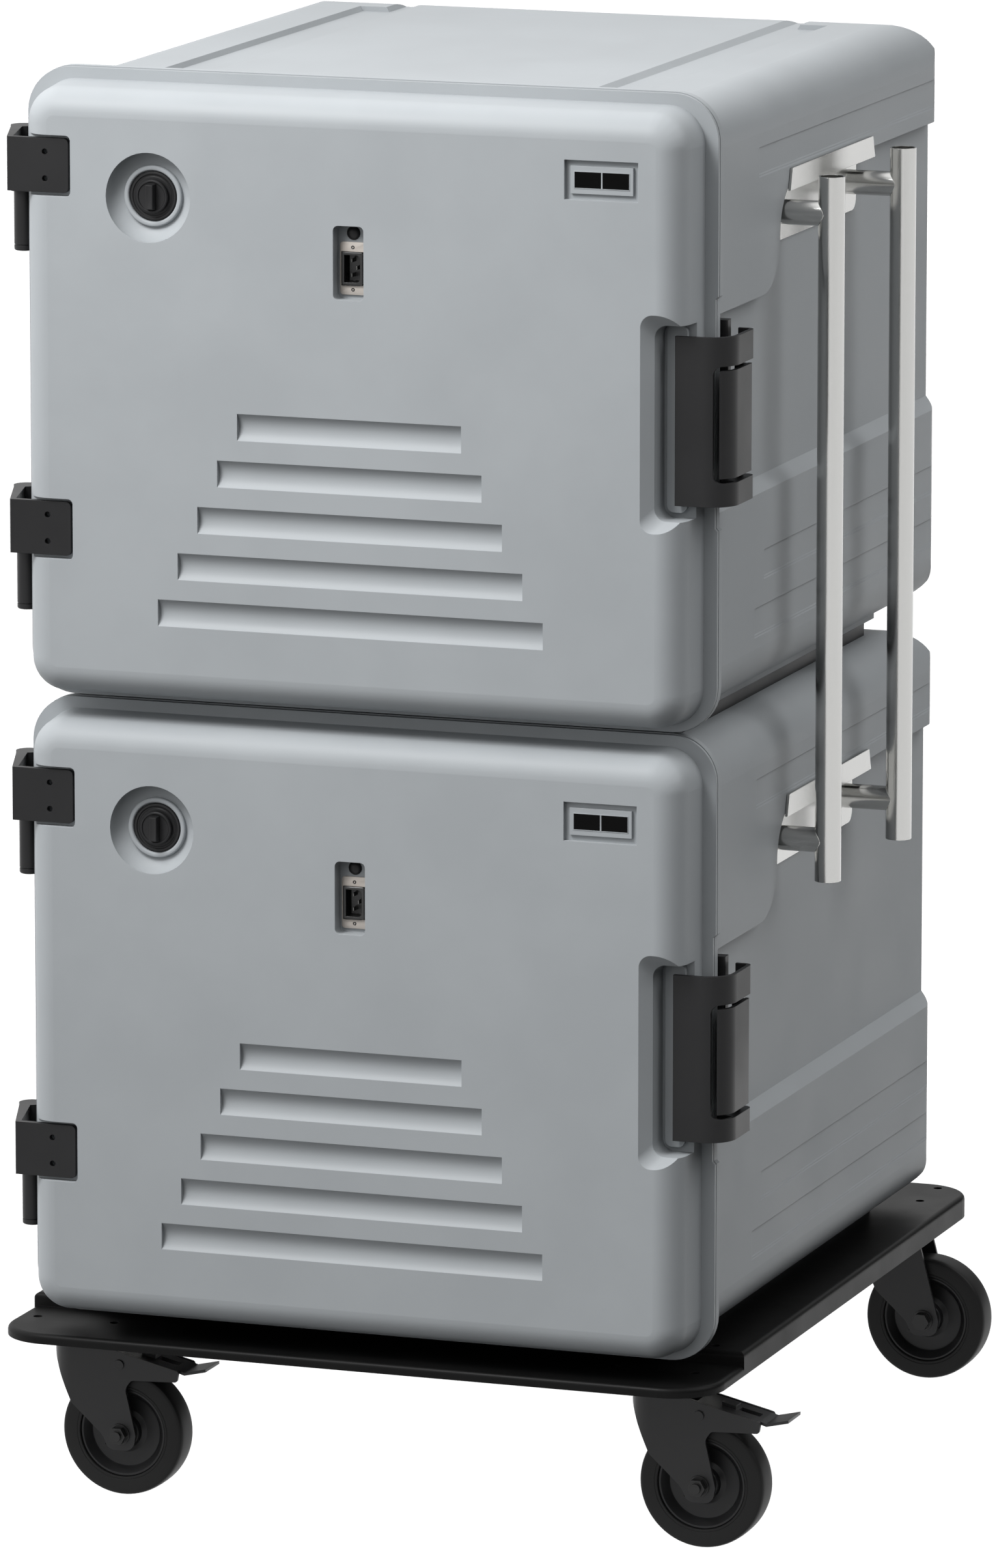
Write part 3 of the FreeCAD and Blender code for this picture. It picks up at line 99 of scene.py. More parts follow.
@dataclass(frozen=True)
class Finish:
    """A surface: its base colour, gloss, and the grain that its making leaves."""

    name: str
    colour: str
    shade: str
    roughness: float
    grain_mm: float
    grain_depth_mm: float
    patch_mm: float = 120.0
    metallic: float = 0.0
    ior: float = 1.5
    coat: float = 0.0
    specular: float = 0.5
    stretch: tuple[float, float, float] = (1.0, 1.0, 1.0)
    rough_spread: float = 0.06
    edge_mm: float = 0.6

    def build(self) -> bpy.types.Material:
        """Build the node material of this finish."""
        material = bpy.data.materials.new(self.name)
        material.use_nodes = True
        tree = material.node_tree
        tree.nodes.clear()
        place = add(tree, "ShaderNodeTexCoord", {}, {})
        spread = add(tree, "ShaderNodeMapping", {"Scale": self.stretch},
                     {"Vector": place.outputs["Object"]})
        patch = add(tree, "ShaderNodeTexNoise",
                    {"Scale": 1000 / self.patch_mm, "Detail": 4.0, "Roughness": 0.55},
                    {"Vector": spread.outputs["Vector"]})
        tone = add(tree, "ShaderNodeValToRGB", {}, {"Fac": patch.outputs["Fac"]})
        tone.color_ramp.elements[0].position = 0.35
        tone.color_ramp.elements[0].color = linear(self.shade)
        tone.color_ramp.elements[1].position = 0.65
        tone.color_ramp.elements[1].color = linear(self.colour)
        gloss = add(tree, "ShaderNodeMapRange",
                    {"From Min": 0.3, "From Max": 0.7,
                     "To Min": self.roughness - self.rough_spread,
                     "To Max": self.roughness + self.rough_spread},
                    {"Value": patch.outputs["Fac"]})
        grain = add(tree, "ShaderNodeTexNoise",
                    {"Scale": 1000 / self.grain_mm, "Detail": 2.0, "Roughness": 0.6},
                    {"Vector": spread.outputs["Vector"]})
        edge = add(tree, "ShaderNodeBevel", {"samples": 4, "Radius": self.edge_mm * MM}, {})
        relief = add(tree, "ShaderNodeBump",
                     {"Strength": 1.0, "Distance": self.grain_depth_mm * MM},
                     {"Height": grain.outputs["Fac"], "Normal": edge.outputs["Normal"]})
        shader = add(tree, "ShaderNodeBsdfPrincipled",
                     {"Metallic": self.metallic, "IOR": self.ior, "Coat Weight": self.coat,
                      "Specular IOR Level": self.specular},
                     {"Base Color": tone.outputs["Color"], "Roughness": gloss.outputs["Result"],
                      "Normal": relief.outputs["Normal"]})
        add(tree, "ShaderNodeOutputMaterial", {}, {"Surface": shader.outputs["BSDF"]})
        return material


class Surface(Enum):
    """The finishes of the cart, each named for what the real surface is."""

    # Rotomoulded polyethylene skin: satin, with the faint pebble of a blasted mould.
    BODY = Finish("moulded_polyethylene_grey_blue", "#9A9EA1", "#969A9D", 0.46, 2.2, 0.03,
                  specular=0.13)
    # Foam in the walls: cream polyurethane with open cells on a cut face.
    FOAM = Finish("polyurethane_foam_cream", "#D9CFA6", "#C9BE93", 0.9, 3.0, 0.4)
    # Vacuum-formed inner skin: smoother and glossier than the outside.
    LINER = Finish("vacuum_formed_liner_grey", "#B9BDBF", "#B2B6B8", 0.32, 2.5, 0.02)
    # Soft extruded door seal.
    SEAL = Finish("extruded_silicone_seal_black", "#1B1B1C", "#141414", 0.6, 1.0, 0.02)
    # Glass-filled nylon fittings: dark, with a spark-eroded grain.
    NYLON = Finish("moulded_nylon_black", "#1F1F20", "#1A1A1B", 0.4, 1.0, 0.02,
                   specular=0.22)
    # Structural-foam deck: coarser leather grain and a dull bloom.
    DECK = Finish("structural_foam_deck_black", "#101010", "#0C0C0C", 0.42, 1.6, 0.04,
                  specular=0.09)
    # Glossier black nylon of the mains socket.
    SOCKET = Finish("moulded_nylon_socket_black", "#161616", "#121212", 0.3, 1.0, 0.01)
    # Nickel-plated brass contacts, dulled by use.
    CONTACT = Finish("nickel_plated_contact", "#6E6E6C", "#60605E", 0.35, 1.5, 0.01,
                     metallic=1.0)
    # Smoked acrylic over the readouts.
    WINDOW = Finish("smoked_acrylic_window", "#040404", "#020202", 0.12, 3.0, 0.004,
                    specular=0.06, rough_spread=0.03)
    # Die-cast face plate of the inlet.
    PLATE = Finish("die_cast_inlet_plate", "#B7B0A9", "#ADA69F", 0.5, 1.2, 0.02, metallic=0.1)
    # Satin stainless sheet and tube, ground along its length.
    STAINLESS = Finish("ground_stainless_steel", "#C2C2C0", "#B5B5B3", 0.2, 1.2, 0.01,
                       metallic=1.0, stretch=(1.0, 1.0, 0.06))
    # Bright zinc plating: slightly cloudy.
    ZINC = Finish("zinc_plated_steel", "#B8B8B4", "#A3A3A0", 0.3, 2.5, 0.01, metallic=1.0)
    # Black-oxided axle bolts and nuts: oily, dark and fairly glossy.
    OXIDE = Finish("black_oxide_steel", "#232323", "#1C1C1C", 0.3, 2.0, 0.01, metallic=0.5)
    # Powder-coated pressings: semi-gloss with fine orange peel.
    POWDER = Finish("powder_coated_steel_black", "#1E1E1F", "#19191A", 0.34, 1.8, 0.02,
                    specular=0.3)
    # Elastic rubber tread: dull, greyer where it has rolled.
    TREAD = Finish("elastic_rubber_tread_black", "#1D1D1D", "#191919", 0.45, 1.4, 0.02,
                   specular=0.16)
    # Injection-moulded nylon wheel body.
    WHEEL = Finish("moulded_nylon_wheel_black", "#202021", "#1B1B1C", 0.36, 1.2, 0.02,
                   specular=0.25)


MADE: dict[Surface, bpy.types.Material] = {}


def finish_of(surface: Surface) -> bpy.types.Material:
    """Give the material of a finish, built once."""
    if surface not in MADE:
        MADE[surface] = surface.value.build()
    return MADE[surface]


# --------------------------------------------------------------------------- CAD pieces
NODE_SURFACES = {
    "shell": Surface.BODY, "insulation": Surface.FOAM, "liner": Surface.LINER,
    "door_shell": Surface.BODY, "door_liner": Surface.LINER, "door_seal": Surface.SEAL,
    "hinge_leaves": Surface.NYLON, "hinge_pins": Surface.NYLON, "hinge_brackets": Surface.NYLON,
    "latch_clasp": Surface.NYLON, "latch_lever": Surface.NYLON, "latch_keeper": Surface.NYLON,
    "vent_ring": Surface.NYLON, "vent_knob": Surface.NYLON, "display": Surface.WINDOW,
    "power_inlet": Surface.PLATE, "fan_wheel": Surface.STAINLESS, "heater_unit": Surface.STAINLESS,
    "deck": Surface.DECK, "stacking_spacers": Surface.NYLON, "caster_plates": Surface.ZINC,
    "caster_bolts": Surface.ZINC, "push_tubes": Surface.STAINLESS, "push_frame": Surface.STAINLESS,
    "fork": Surface.POWDER, "tyre": Surface.TREAD, "hub": Surface.WHEEL, "axle": Surface.OXIDE,
    "brake_pedal": Surface.POWDER,
}


def surface_of(node_name: str) -> Surface:
    """Find the finish of a CAD node from its name."""
    bare = node_name
    for level in LEVELS:
        bare = bare.removeprefix(level + "_")
    for corner in CORNERS:
        bare = bare.removesuffix("_" + corner)
    return NODE_SURFACES[bare]


def dress_nodes() -> None:
    """Give every CAD node the finish of what it is made of."""
    for name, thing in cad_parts.items():
        material = finish_of(surface_of(name))
        for slot in thing.material_slots:
            slot.material = material
        log.info("dressed %s with %s", name, material.name)


# --------------------------------------------------------------------------- hand tools
SHIFT_MM = Vector((-18.0, -371.5, 0.0))      # from the box's own middle to the cart's middle
FOOT_MM = {"lower": 188.0, "upper": 793.0}   # foot of each box above the floor
ALONG_Y = (math.pi / 2, 0.0, 0.0)            # turns a primitive's +Z to -Y, out of the door


def spot(x: float, y: float, z: float) -> Vector:
    """Turn a place on a box, in millimetres, into the cart's metres."""
    return (Vector((x, y, z)) + SHIFT_MM) * MM


def only(thing: bpy.types.Object) -> None:
    """Select one object and make it active."""
    bpy.ops.object.select_all(action="DESELECT")
    thing.select_set(True)
    bpy.context.view_layer.objects.active = thing


class Edit:
    """Edit mode on one object, with nothing selected at the start."""

    def __init__(self, thing: bpy.types.Object) -> None:
        """Keep the object that is edited."""
        self.thing = thing

    def __enter__(self) -> "Edit":
        """Enter edit mode."""
        only(self.thing)
        bpy.ops.object.mode_set(mode="EDIT")
        bpy.ops.mesh.select_all(action="DESELECT")
        return self

    def __exit__(self, *trouble: object) -> None:
        """Leave edit mode."""
        bpy.ops.object.mode_set(mode="OBJECT")

    def faces(self, test: Callable[[Vector, Vector], bool]) -> int:
        """Select the faces whose middle and normal pass a test.

        Args:
            test: takes the middle and the normal of a face, in metres.

        Returns:
            How many faces are selected.
        """
        bpy.ops.mesh.select_mode(type="FACE")
        mesh = bmesh.from_edit_mesh(self.thing.data)
        turn = self.thing.matrix_world
        count = 0
        for face in mesh.faces:
            middle = turn @ face.calc_center_median()
            normal = (turn.to_3x3() @ face.normal).normalized()
            face.select_set(bool(test(middle, normal)))
            count += face.select
        mesh.select_flush_mode()
        bmesh.update_edit_mesh(self.thing.data)
        return count

    def edges(self, test: Callable[[Vector, Vector], bool]) -> int:
        """Select the edges whose two ends pass a test.

        Args:
            test: takes the two ends of an edge, in metres.

        Returns:
            How many edges are selected.
        """
        bpy.ops.mesh.select_mode(type="EDGE")
        mesh = bmesh.from_edit_mesh(self.thing.data)
        turn = self.thing.matrix_world
        count = 0
        for edge in mesh.edges:
            ends = [turn @ v.co for v in edge.verts]
            edge.select_set(bool(test(ends[0], ends[1])))
            count += edge.select
        bmesh.update_edit_mesh(self.thing.data)
        return count


def settle(thing: bpy.types.Object, name: str, surface: Surface, smooth_deg: float = 35.0
           ) -> bpy.types.Object:
    """Finish a mesh: name it, put its place into its mesh, close it, smooth it and dress it.

    Args:
        thing: the object.
        name: the piece's name.
        surface: its finish.
        smooth_deg: edges flatter than this are shaded smooth.

    Returns:
        The same object.
    """
    thing.name = name
    thing.data.name = name
    only(thing)
    bpy.ops.object.transform_apply(location=True, rotation=True, scale=True)
    with Edit(thing):
        bpy.ops.mesh.select_all(action="SELECT")
        bpy.ops.mesh.remove_doubles(threshold=0.00001)
        bpy.ops.mesh.normals_make_consistent(inside=False)
    only(thing)
    bpy.ops.object.shade_smooth_by_angle(angle=math.radians(smooth_deg))
    thing.data.materials.clear()
    thing.data.materials.append(finish_of(surface))
    return thing


def brick(low: Vector, high: Vector) -> bpy.types.Object:
    """Add a cube primitive between two corners in metres, to be shaped further."""
    bpy.ops.object.select_all(action="DESELECT")
    bpy.ops.mesh.primitive_cube_add(size=1.0, location=(low + high) / 2)
    thing = bpy.context.object
    thing.scale = high - low
    bpy.ops.object.transform_apply(location=False, rotation=False, scale=True)
    return thing


def rounded(thing: bpy.types.Object, width_mm: float, segments: int = 2, limit_deg: float = 40.0
            ) -> bpy.types.Object:
    """Round the sharp edges of an object with an applied bevel modifier."""
    bevel = thing.modifiers.new("round", "BEVEL")
    bevel.width = width_mm * MM
    bevel.segments = segments
    bevel.limit_method = "ANGLE"
    bevel.angle_limit = math.radians(limit_deg)
    bevel.harden_normals = False
    only(thing)
    bpy.ops.object.modifier_apply(modifier=bevel.name)
    return thing


def turned(centre: Vector, turn: tuple[float, float, float], profile: list[tuple[float, float]],
           sides: int = 48, ring: bool = False) -> bpy.types.Object:
    """Turn a piece as on a lathe: a circle, extruded and resized step by step.

    Args:
        centre: a point on its axis, in metres.
        turn: Euler angles that bring +Z to its axis.
        profile: steps of (radius, height), in millimetres; a radius of zero closes a pole.
        sides: corners of the circle.
        ring: the profile is a closed loop round a hole.

    Returns:
        The turned object, not settled yet.
    """
    axis = Euler(turn).to_matrix() @ Vector((0, 0, 1))
    (radius, height), rest = profile[0], list(profile[1:])
    if ring:
        rest.append(profile[0])
    bpy.ops.object.select_all(action="DESELECT")
    bpy.ops.mesh.primitive_circle_add(vertices=sides, radius=radius * MM,
                                      fill_type="NOTHING" if ring else "NGON",
                                      location=centre + axis * height * MM, rotation=turn)
    thing = bpy.context.object
    with Edit(thing):
        bpy.ops.mesh.select_mode(type="VERT" if ring else "FACE")
        bpy.ops.mesh.select_all(action="SELECT")
        for new_radius, new_height in rest:
            shift = axis * (new_height - height) * MM
            bpy.ops.mesh.extrude_region_move(TRANSFORM_OT_translate={"value": shift})
            if new_radius <= 0.0:
                bpy.ops.mesh.merge(type="CENTER")
                break
            if abs(new_radius - radius) > 1e-9:
                size = new_radius / radius
                bpy.ops.transform.resize(value=(size, size, size),
                                         center_override=centre + axis * new_height * MM)
            radius, height = new_radius, new_height
    return thing


def carved(thing: bpy.types.Object, cutter: bpy.types.Object) -> bpy.types.Object:
    """Take a cutter out of an object with an applied boolean modifier.

    Args:
        thing: the object that is cut.
        cutter: the object that it is cut with, which is removed afterwards.

    Returns:
        The cut object.
    """
    cut = thing.modifiers.new("carve", "BOOLEAN")
    cut.operation = "DIFFERENCE"
    cut.object = cutter
    only(thing)
    bpy.ops.object.modifier_apply(modifier=cut.name)
    bpy.data.objects.remove(cutter)
    return thing


def joined(things: list[bpy.types.Object]) -> bpy.types.Object:
    """Join several objects into the first."""
    only(things[0])
    for other in things[1:]:
        other.select_set(True)
    bpy.ops.object.join()
    return things[0]


def copied(thing: bpy.types.Object, name: str, shift: Vector) -> bpy.types.Object:
    """Copy a settled piece with a mesh of its own, moved by a distance in metres."""
    twin = thing.copy()
    twin.data = thing.data.copy()
    twin.name = name
    twin.data.name = name
    twin.data.transform(Matrix.Translation(shift))
    bpy.context.scene.collection.objects.link(twin)
    return twin


def hang(thing: bpy.types.Object, body: str, nodes: tuple[str, ...] = ()) -> None:
    """Let a settled piece ride on a body, in place of some nodes.

    Args:
        thing: the piece.
        body: the body that carries it.
        nodes: the nodes that it replaces.
    """
    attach(thing, body)
    if nodes:
        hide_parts(*nodes)
    log.info("made %s, %d faces, on %s", thing.name, len(thing.data.polygons), body)


# --------------------------------------------------------------------------- mains inlet
@dataclass
class PowerInlet:
    """Mains inlet of a door: plate, screws, black socket with three contacts, cap above."""

    floor_y: float = -43.0           # floor of the inlet's pocket
    plate_half_w: float = 13.0
    plate_low: float = 406.4
    plate_high: float = 456.2
    plate_t: float = 2.0
    plate_corner: float = 3.0
    body_half_w: float = 11.0
    body_half_h: float = 16.0
    body_front: float = -47.0
    body_rear: float = -29.0
    lap: float = 0.2                 # the plate's opening is this much inside the socket
    beyond: float = 2.0              # how far a cutter stands past what it cuts
    mouth_wall: float = 3.0
    mouth_deep: float = 15.5
    mouth_corner: float = 4.0
    contact_half: tuple[float, float] = (1.0, 2.0)
    contact_tip: float = -42.0
    contacts: tuple[tuple[float, float], ...] = ((-2.5, -7.0), (2.5, 0.0), (-2.5, 7.0))
    screw_half_pitch: float = 20.0
    screw_r: float = 1.75
    cap_r: float = 6.6
    cap_z: float = 464.6

    def plate(self) -> bpy.types.Object:
        """Shape the plate: rounded corners, a shallow step round its face, an opening."""
        face = self.floor_y - self.plate_t
        slab = brick(spot(-self.plate_half_w, face, self.plate_low),
                     spot(self.plate_half_w, self.floor_y, self.plate_high))
        with Edit(slab) as edit:
            edit.edges(lambda a, b: abs((a - b).y) > 0.0005)
            bpy.ops.mesh.bevel(offset=self.plate_corner * MM, segments=5)
            edit.faces(lambda middle, normal: normal.y < -0.9)
            bpy.ops.mesh.inset(thickness=0.5 * MM, depth=0.3 * MM)
        z = (self.plate_low + self.plate_high) / 2
        wide, tall = self.body_half_w - self.lap, self.body_half_h - self.lap
        window = brick(spot(-wide, face - self.beyond, z - tall),
                       spot(wide, self.floor_y + self.beyond, z + tall))
        return carved(slab, window)

    def socket(self) -> bpy.types.Object:
        """Shape the black socket: a block whose mouth is inset and pushed in."""
        z = (self.plate_low + self.plate_high) / 2
        block = brick(spot(-self.body_half_w, self.body_front, z - self.body_half_h),
                      spot(self.body_half_w, self.body_rear, z + self.body_half_h))
        right = spot(self.body_half_w - self.mouth_wall - 0.5, 0, 0).x
        with Edit(block) as edit:
            edit.faces(lambda middle, normal: normal.y < -0.9)
            bpy.ops.mesh.inset(thickness=0.9 * MM, depth=0.0)
            bpy.ops.transform.translate(value=(0, -0.8 * MM, 0))
            bpy.ops.mesh.inset(thickness=(self.mouth_wall - 0.9) * MM, depth=0.0)
            bpy.ops.mesh.extrude_region_move(
                TRANSFORM_OT_translate={"value": (0, self.mouth_deep * MM, 0)})
            edit.edges(lambda a, b: abs((a - b).y) > 0.01 and a.x > right)
            bpy.ops.mesh.bevel(offset=self.mouth_corner * MM, segments=3)
        return rounded(block, 0.35)

    def contact(self, x: float, z: float) -> bpy.types.Object:
        """Shape one contact: a blade with a chamfered tip."""
        half_w, half_h = self.contact_half
        blade = brick(spot(x - half_w, self.contact_tip, z - half_h),
                      spot(x + half_w, self.body_rear, z + half_h))
        with Edit(blade) as edit:
            edit.faces(lambda middle, normal: normal.y < -0.9)
            bpy.ops.transform.resize(value=(0.6, 1.0, 0.8))
        return rounded(blade, 0.2)

    def screw(self, z: float) -> bpy.types.Object:
        """Shape one small dark screw head with a round recess."""
        face = self.floor_y - self.plate_t - 0.3
        head = turned(spot(0, face, z), ALONG_Y,
                      [(self.screw_r, -1.0), (self.screw_r, 0.1), (self.screw_r - 0.5, 0.5)], 24)
        with Edit(head) as edit:
            edit.faces(lambda middle, normal: normal.y < -0.9)
            bpy.ops.mesh.inset(thickness=1.0 * MM, depth=-0.9 * MM)
        return head

    def cap(self) -> bpy.types.Object:
        """Shape the round cap: a dome on a low collar."""
        steps = [(self.cap_r, -0.5), (self.cap_r, 0.6)]
        for i in range(1, 7):
            angle = math.radians(15 * i)
            steps.append(((self.cap_r - 0.4) * math.cos(angle), 0.6 + 3.2 * math.sin(angle)))
        steps[-1] = (0.0, steps[-1][1])
        return turned(spot(0, self.floor_y, self.cap_z), ALONG_Y, steps, 32)

    def build(self) -> None:
        """Build both inlets."""
        z = (self.plate_low + self.plate_high) / 2
        plate = settle(self.plate(), "inlet_plate", Surface.PLATE)
        socket = settle(self.socket(), "inlet_socket", Surface.SOCKET)
        blades = [self.contact(x, z + dz) for x, dz in self.contacts]
        contacts = settle(joined(blades), "inlet_contacts", Surface.CONTACT)
        heads = [self.screw(z + side * self.screw_half_pitch) for side in (-1, 1)]
        screws = settle(joined(heads), "inlet_screws", Surface.SOCKET)
        cap = settle(self.cap(), "inlet_cap", Surface.NYLON)
        for level in LEVELS:
            up = Vector((0, 0, FOOT_MM[level] * MM))
            body = level + "_door"
            for thing, slot in ((plate, "inlet_plastic"), (socket, "black_plastic"),
                                (contacts, "zinc_steel"), (screws, "zinc_steel"),
                                (cap, "black_plastic")):
                twin = copied(thing, level + "_" + thing.name, up)
                nodes = (level + "_power_inlet",) if thing is plate else ()
                hang(twin, body, nodes)
        for thing in (plate, socket, contacts, screws, cap):
            bpy.data.objects.remove(thing)


# --------------------------------------------------------------------------- vent
@dataclass
class Vent:
    """Turning vent of a door: ring on the floor of its dish and a knob with a grip bar."""

    x: float = -200.8
    z: float = 490.3
    floor_y: float = -41.4
    ring_r: float = 23.5
    ring_in_r: float = 4.05
    ring_t: float = 3.0
    knob_back: float = 3.5           # above the floor of the dish
    knob_r: float = 16.0
    knob_t: float = 4.0
    stem_r: float = 4.0
    stem_len: float = 12.0
    grip_half: tuple[float, float] = (4.75, 12.5)
    grip_rise: float = 7.0

    def ring(self) -> bpy.types.Object:
        """Turn the ring: a raised outer bead, then a groove and a flat round the knob."""
        r, t = self.ring_r, self.ring_t
        profile = [(self.ring_in_r, 0.0), (r - 0.4, 0.0), (r, 0.4), (r, t - 0.8), (r - 0.8, t),
                   (r - 2.6, t), (r - 3.2, t - 0.8), (r - 4.6, t - 1.1), (r - 5.4, t - 0.4),
                   (r - 7.0, t - 0.4), (self.ring_in_r, t - 0.4)]
        return turned(spot(self.x, self.floor_y, self.z), ALONG_Y, profile, 72, ring=True)

    def knob(self) -> bpy.types.Object:
        """Turn the disc with its rim and stem, and join the tapered grip bar to it."""
        b, r, t = self.knob_back, self.knob_r, self.knob_t
        profile = [(self.stem_r, b - self.stem_len), (self.stem_r, b), (r - 0.3, b), (r, b + 0.3),
                   (r, b + t - 0.9), (r - 0.9, b + t), (r - 2.2, b + t), (r - 2.8, b + t - 0.9),
                   (r - 3.6, b + t - 1.1)]
        disc = turned(spot(self.x, self.floor_y, self.z), ALONG_Y, profile, 64)
        half_w, half_h = self.grip_half
        foot = self.floor_y - b - t + 1.6
        tip = self.floor_y - b - t - self.grip_rise
        bar = brick(spot(self.x - half_w, tip, self.z - half_h),
                    spot(self.x + half_w, foot, self.z + half_h))
        with Edit(bar) as edit:
            edit.faces(lambda middle, normal: normal.y < -0.9)
            bpy.ops.transform.resize(value=(0.72, 1.0, 0.92))
            bpy.ops.mesh.inset(thickness=1.0 * MM, depth=-0.5 * MM)
        return joined([disc, rounded(bar, 0.7, 3)])

    def build(self) -> None:
        """Build both vents."""
        ring = settle(self.ring(), "vent_ring_piece", Surface.NYLON)
        knob = settle(self.knob(), "vent_knob_piece", Surface.NYLON)
        for level in LEVELS:
            up = Vector((0, 0, FOOT_MM[level] * MM))
            hang(copied(ring, level + "_" + ring.name, up), level + "_door",
                 (level + "_vent_ring",))
            hang(copied(knob, level + "_" + knob.name, up), level + "_vent",
                 (level + "_vent_knob",))
        for thing in (ring, knob):
            bpy.data.objects.remove(thing)


# --------------------------------------------------------------------------- display
@dataclass
class DisplayTrim:
    """Fine raised trim round the two readout windows of a door."""

    node: str = "display"
    rim_mm: float = 0.9              # width of the trim beside the windows
    proud_mm: float = 0.35           # and how far it stands above them
    sunk_mm: float = 1.5             # how deep it sits in the door
    beyond_mm: float = 3.0           # how far a cutter stands past it
    bar_mm: float = 1.4              # width of the bar between the windows
    taper: tuple[float, float, float] = (0.992, 1.0, 0.975)
    round_mm: float = 0.12

    def build(self) -> None:
        """Build both trims round the windows' own places."""
        for level in LEVELS:
            low, high = (Vector(corner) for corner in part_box(level + "_" + self.node))
            rim, proud = self.rim_mm * MM, self.proud_mm * MM
            beyond = self.beyond_mm * MM
            middle = (low.x + high.x) / 2
            gap = self.bar_mm / 2 * MM
            slab = brick(Vector((low.x - rim, low.y - proud, low.z - rim)),
                         Vector((high.x + rim, low.y + self.sunk_mm * MM, high.z + rim)))
            with Edit(slab) as edit:
                edit.faces(lambda at, normal: normal.y < -0.9)
                bpy.ops.transform.resize(value=self.taper)
            for left, right in ((low.x, middle - gap), (middle + gap, high.x)):
                slab = carved(slab, brick(Vector((left, low.y - beyond, low.z)),
                                          Vector((right, low.y + beyond, high.z))))
            trim = settle(rounded(slab, self.round_mm), level + "_display_trim", Surface.BODY)
            hang(trim, level + "_door")


# --------------------------------------------------------------------------- caster wheels
@dataclass
class CasterWheel:
    """Tyre and hub of the four casters."""

    axle_x: tuple[float, float] = (-269.5, 323.0)
    axle_y: tuple[float, float] = (44.0, 751.0)
    axle_z: float = 62.5
    wheel_r: float = 62.5
    half_w: float = 16.0
    seat_r: float = 44.0
    rim_r: float = 38.0
    rim_half: float = 14.0
    web_half: float = 5.0
    boss_r: float = 16.0
    boss_half: float = 18.0
    bore_r: float = 5.05

    def tyre(self) -> bpy.types.Object:
        """Turn the tyre: flat sides, a fine line near each shoulder and a crowned tread."""
        r, w, s = self.wheel_r, self.half_w, self.seat_r
        half = [(s, w - 2.0), (s, w - 0.6), (s + 0.6, w), (s + 2.2, w), (s + 2.5, w - 0.35),
                (s + 3.0, w - 0.35), (s + 3.3, w), (r - 4.6, w), (r - 3.0, w - 0.3),
                (r - 1.6, w - 1.1), (r - 0.8, w - 2.4), (r - 0.35, w - 5.0), (r - 0.12, w - 9.0),
                (r, w - 13.0)]
        profile = half + [(radius, -level) for radius, level in reversed(half)]
        return turned(spot(self.axle_x[0], self.axle_y[0], self.axle_z), ALONG_Y, profile, 96,
                      ring=True)

    def hub(self) -> bpy.types.Object:
        """Turn the hub: narrow lip, sloping dish wall, flat web, and the bored boss."""
        half = [(self.bore_r, self.boss_half), (self.boss_r - 5.6, self.boss_half),
                (self.boss_r - 5.0, self.boss_half - 0.6),
                (self.boss_r - 5.0, self.boss_half - 3.2),
                (self.boss_r - 0.8, self.boss_half - 4.0), (self.boss_r, self.boss_half - 5.0),
                (self.boss_r + 1.0, self.web_half + 2.6), (self.boss_r + 3.6, self.web_half + 0.4),
                (self.boss_r + 5.5, self.web_half - 0.6), (self.rim_r - 5.0, self.web_half - 0.6),
                (self.rim_r - 3.0, self.web_half - 0.1), (self.rim_r - 1.6, self.web_half + 1.2),
                (self.rim_r + 2.6, self.rim_half - 0.8), (self.rim_r + 3.4, self.rim_half),
                (self.seat_r - 1.0, self.rim_half), (self.seat_r, self.rim_half - 0.6)]
        profile = half + [(radius, -level) for radius, level in reversed(half)]
        return turned(spot(self.axle_x[0], self.axle_y[0], self.axle_z), ALONG_Y, profile, 80,
                      ring=True)

    def build(self) -> None:
        """Build the four tyres and hubs."""
        tyre = settle(self.tyre(), "tyre_piece", Surface.TREAD, 25.0)
        hub = settle(self.hub(), "hub_piece", Surface.WHEEL, 25.0)
        for corner in CORNERS:
            end, side = corner.split("_")
            dx = (self.axle_x[1] - self.axle_x[0]) * (side == "right")
            dy = (self.axle_y[1] - self.axle_y[0]) * (end == "rear")
            move = Vector((dx, dy, 0)) * MM
            hang(copied(tyre, "tyre_piece_" + corner, move), "wheel_" + corner,
                 ("tyre_" + corner,))
            hang(copied(hub, "hub_piece_" + corner, move), "wheel_" + corner,
                 ("hub_" + corner,))
        for thing in (tyre, hub):
            bpy.data.objects.remove(thing)


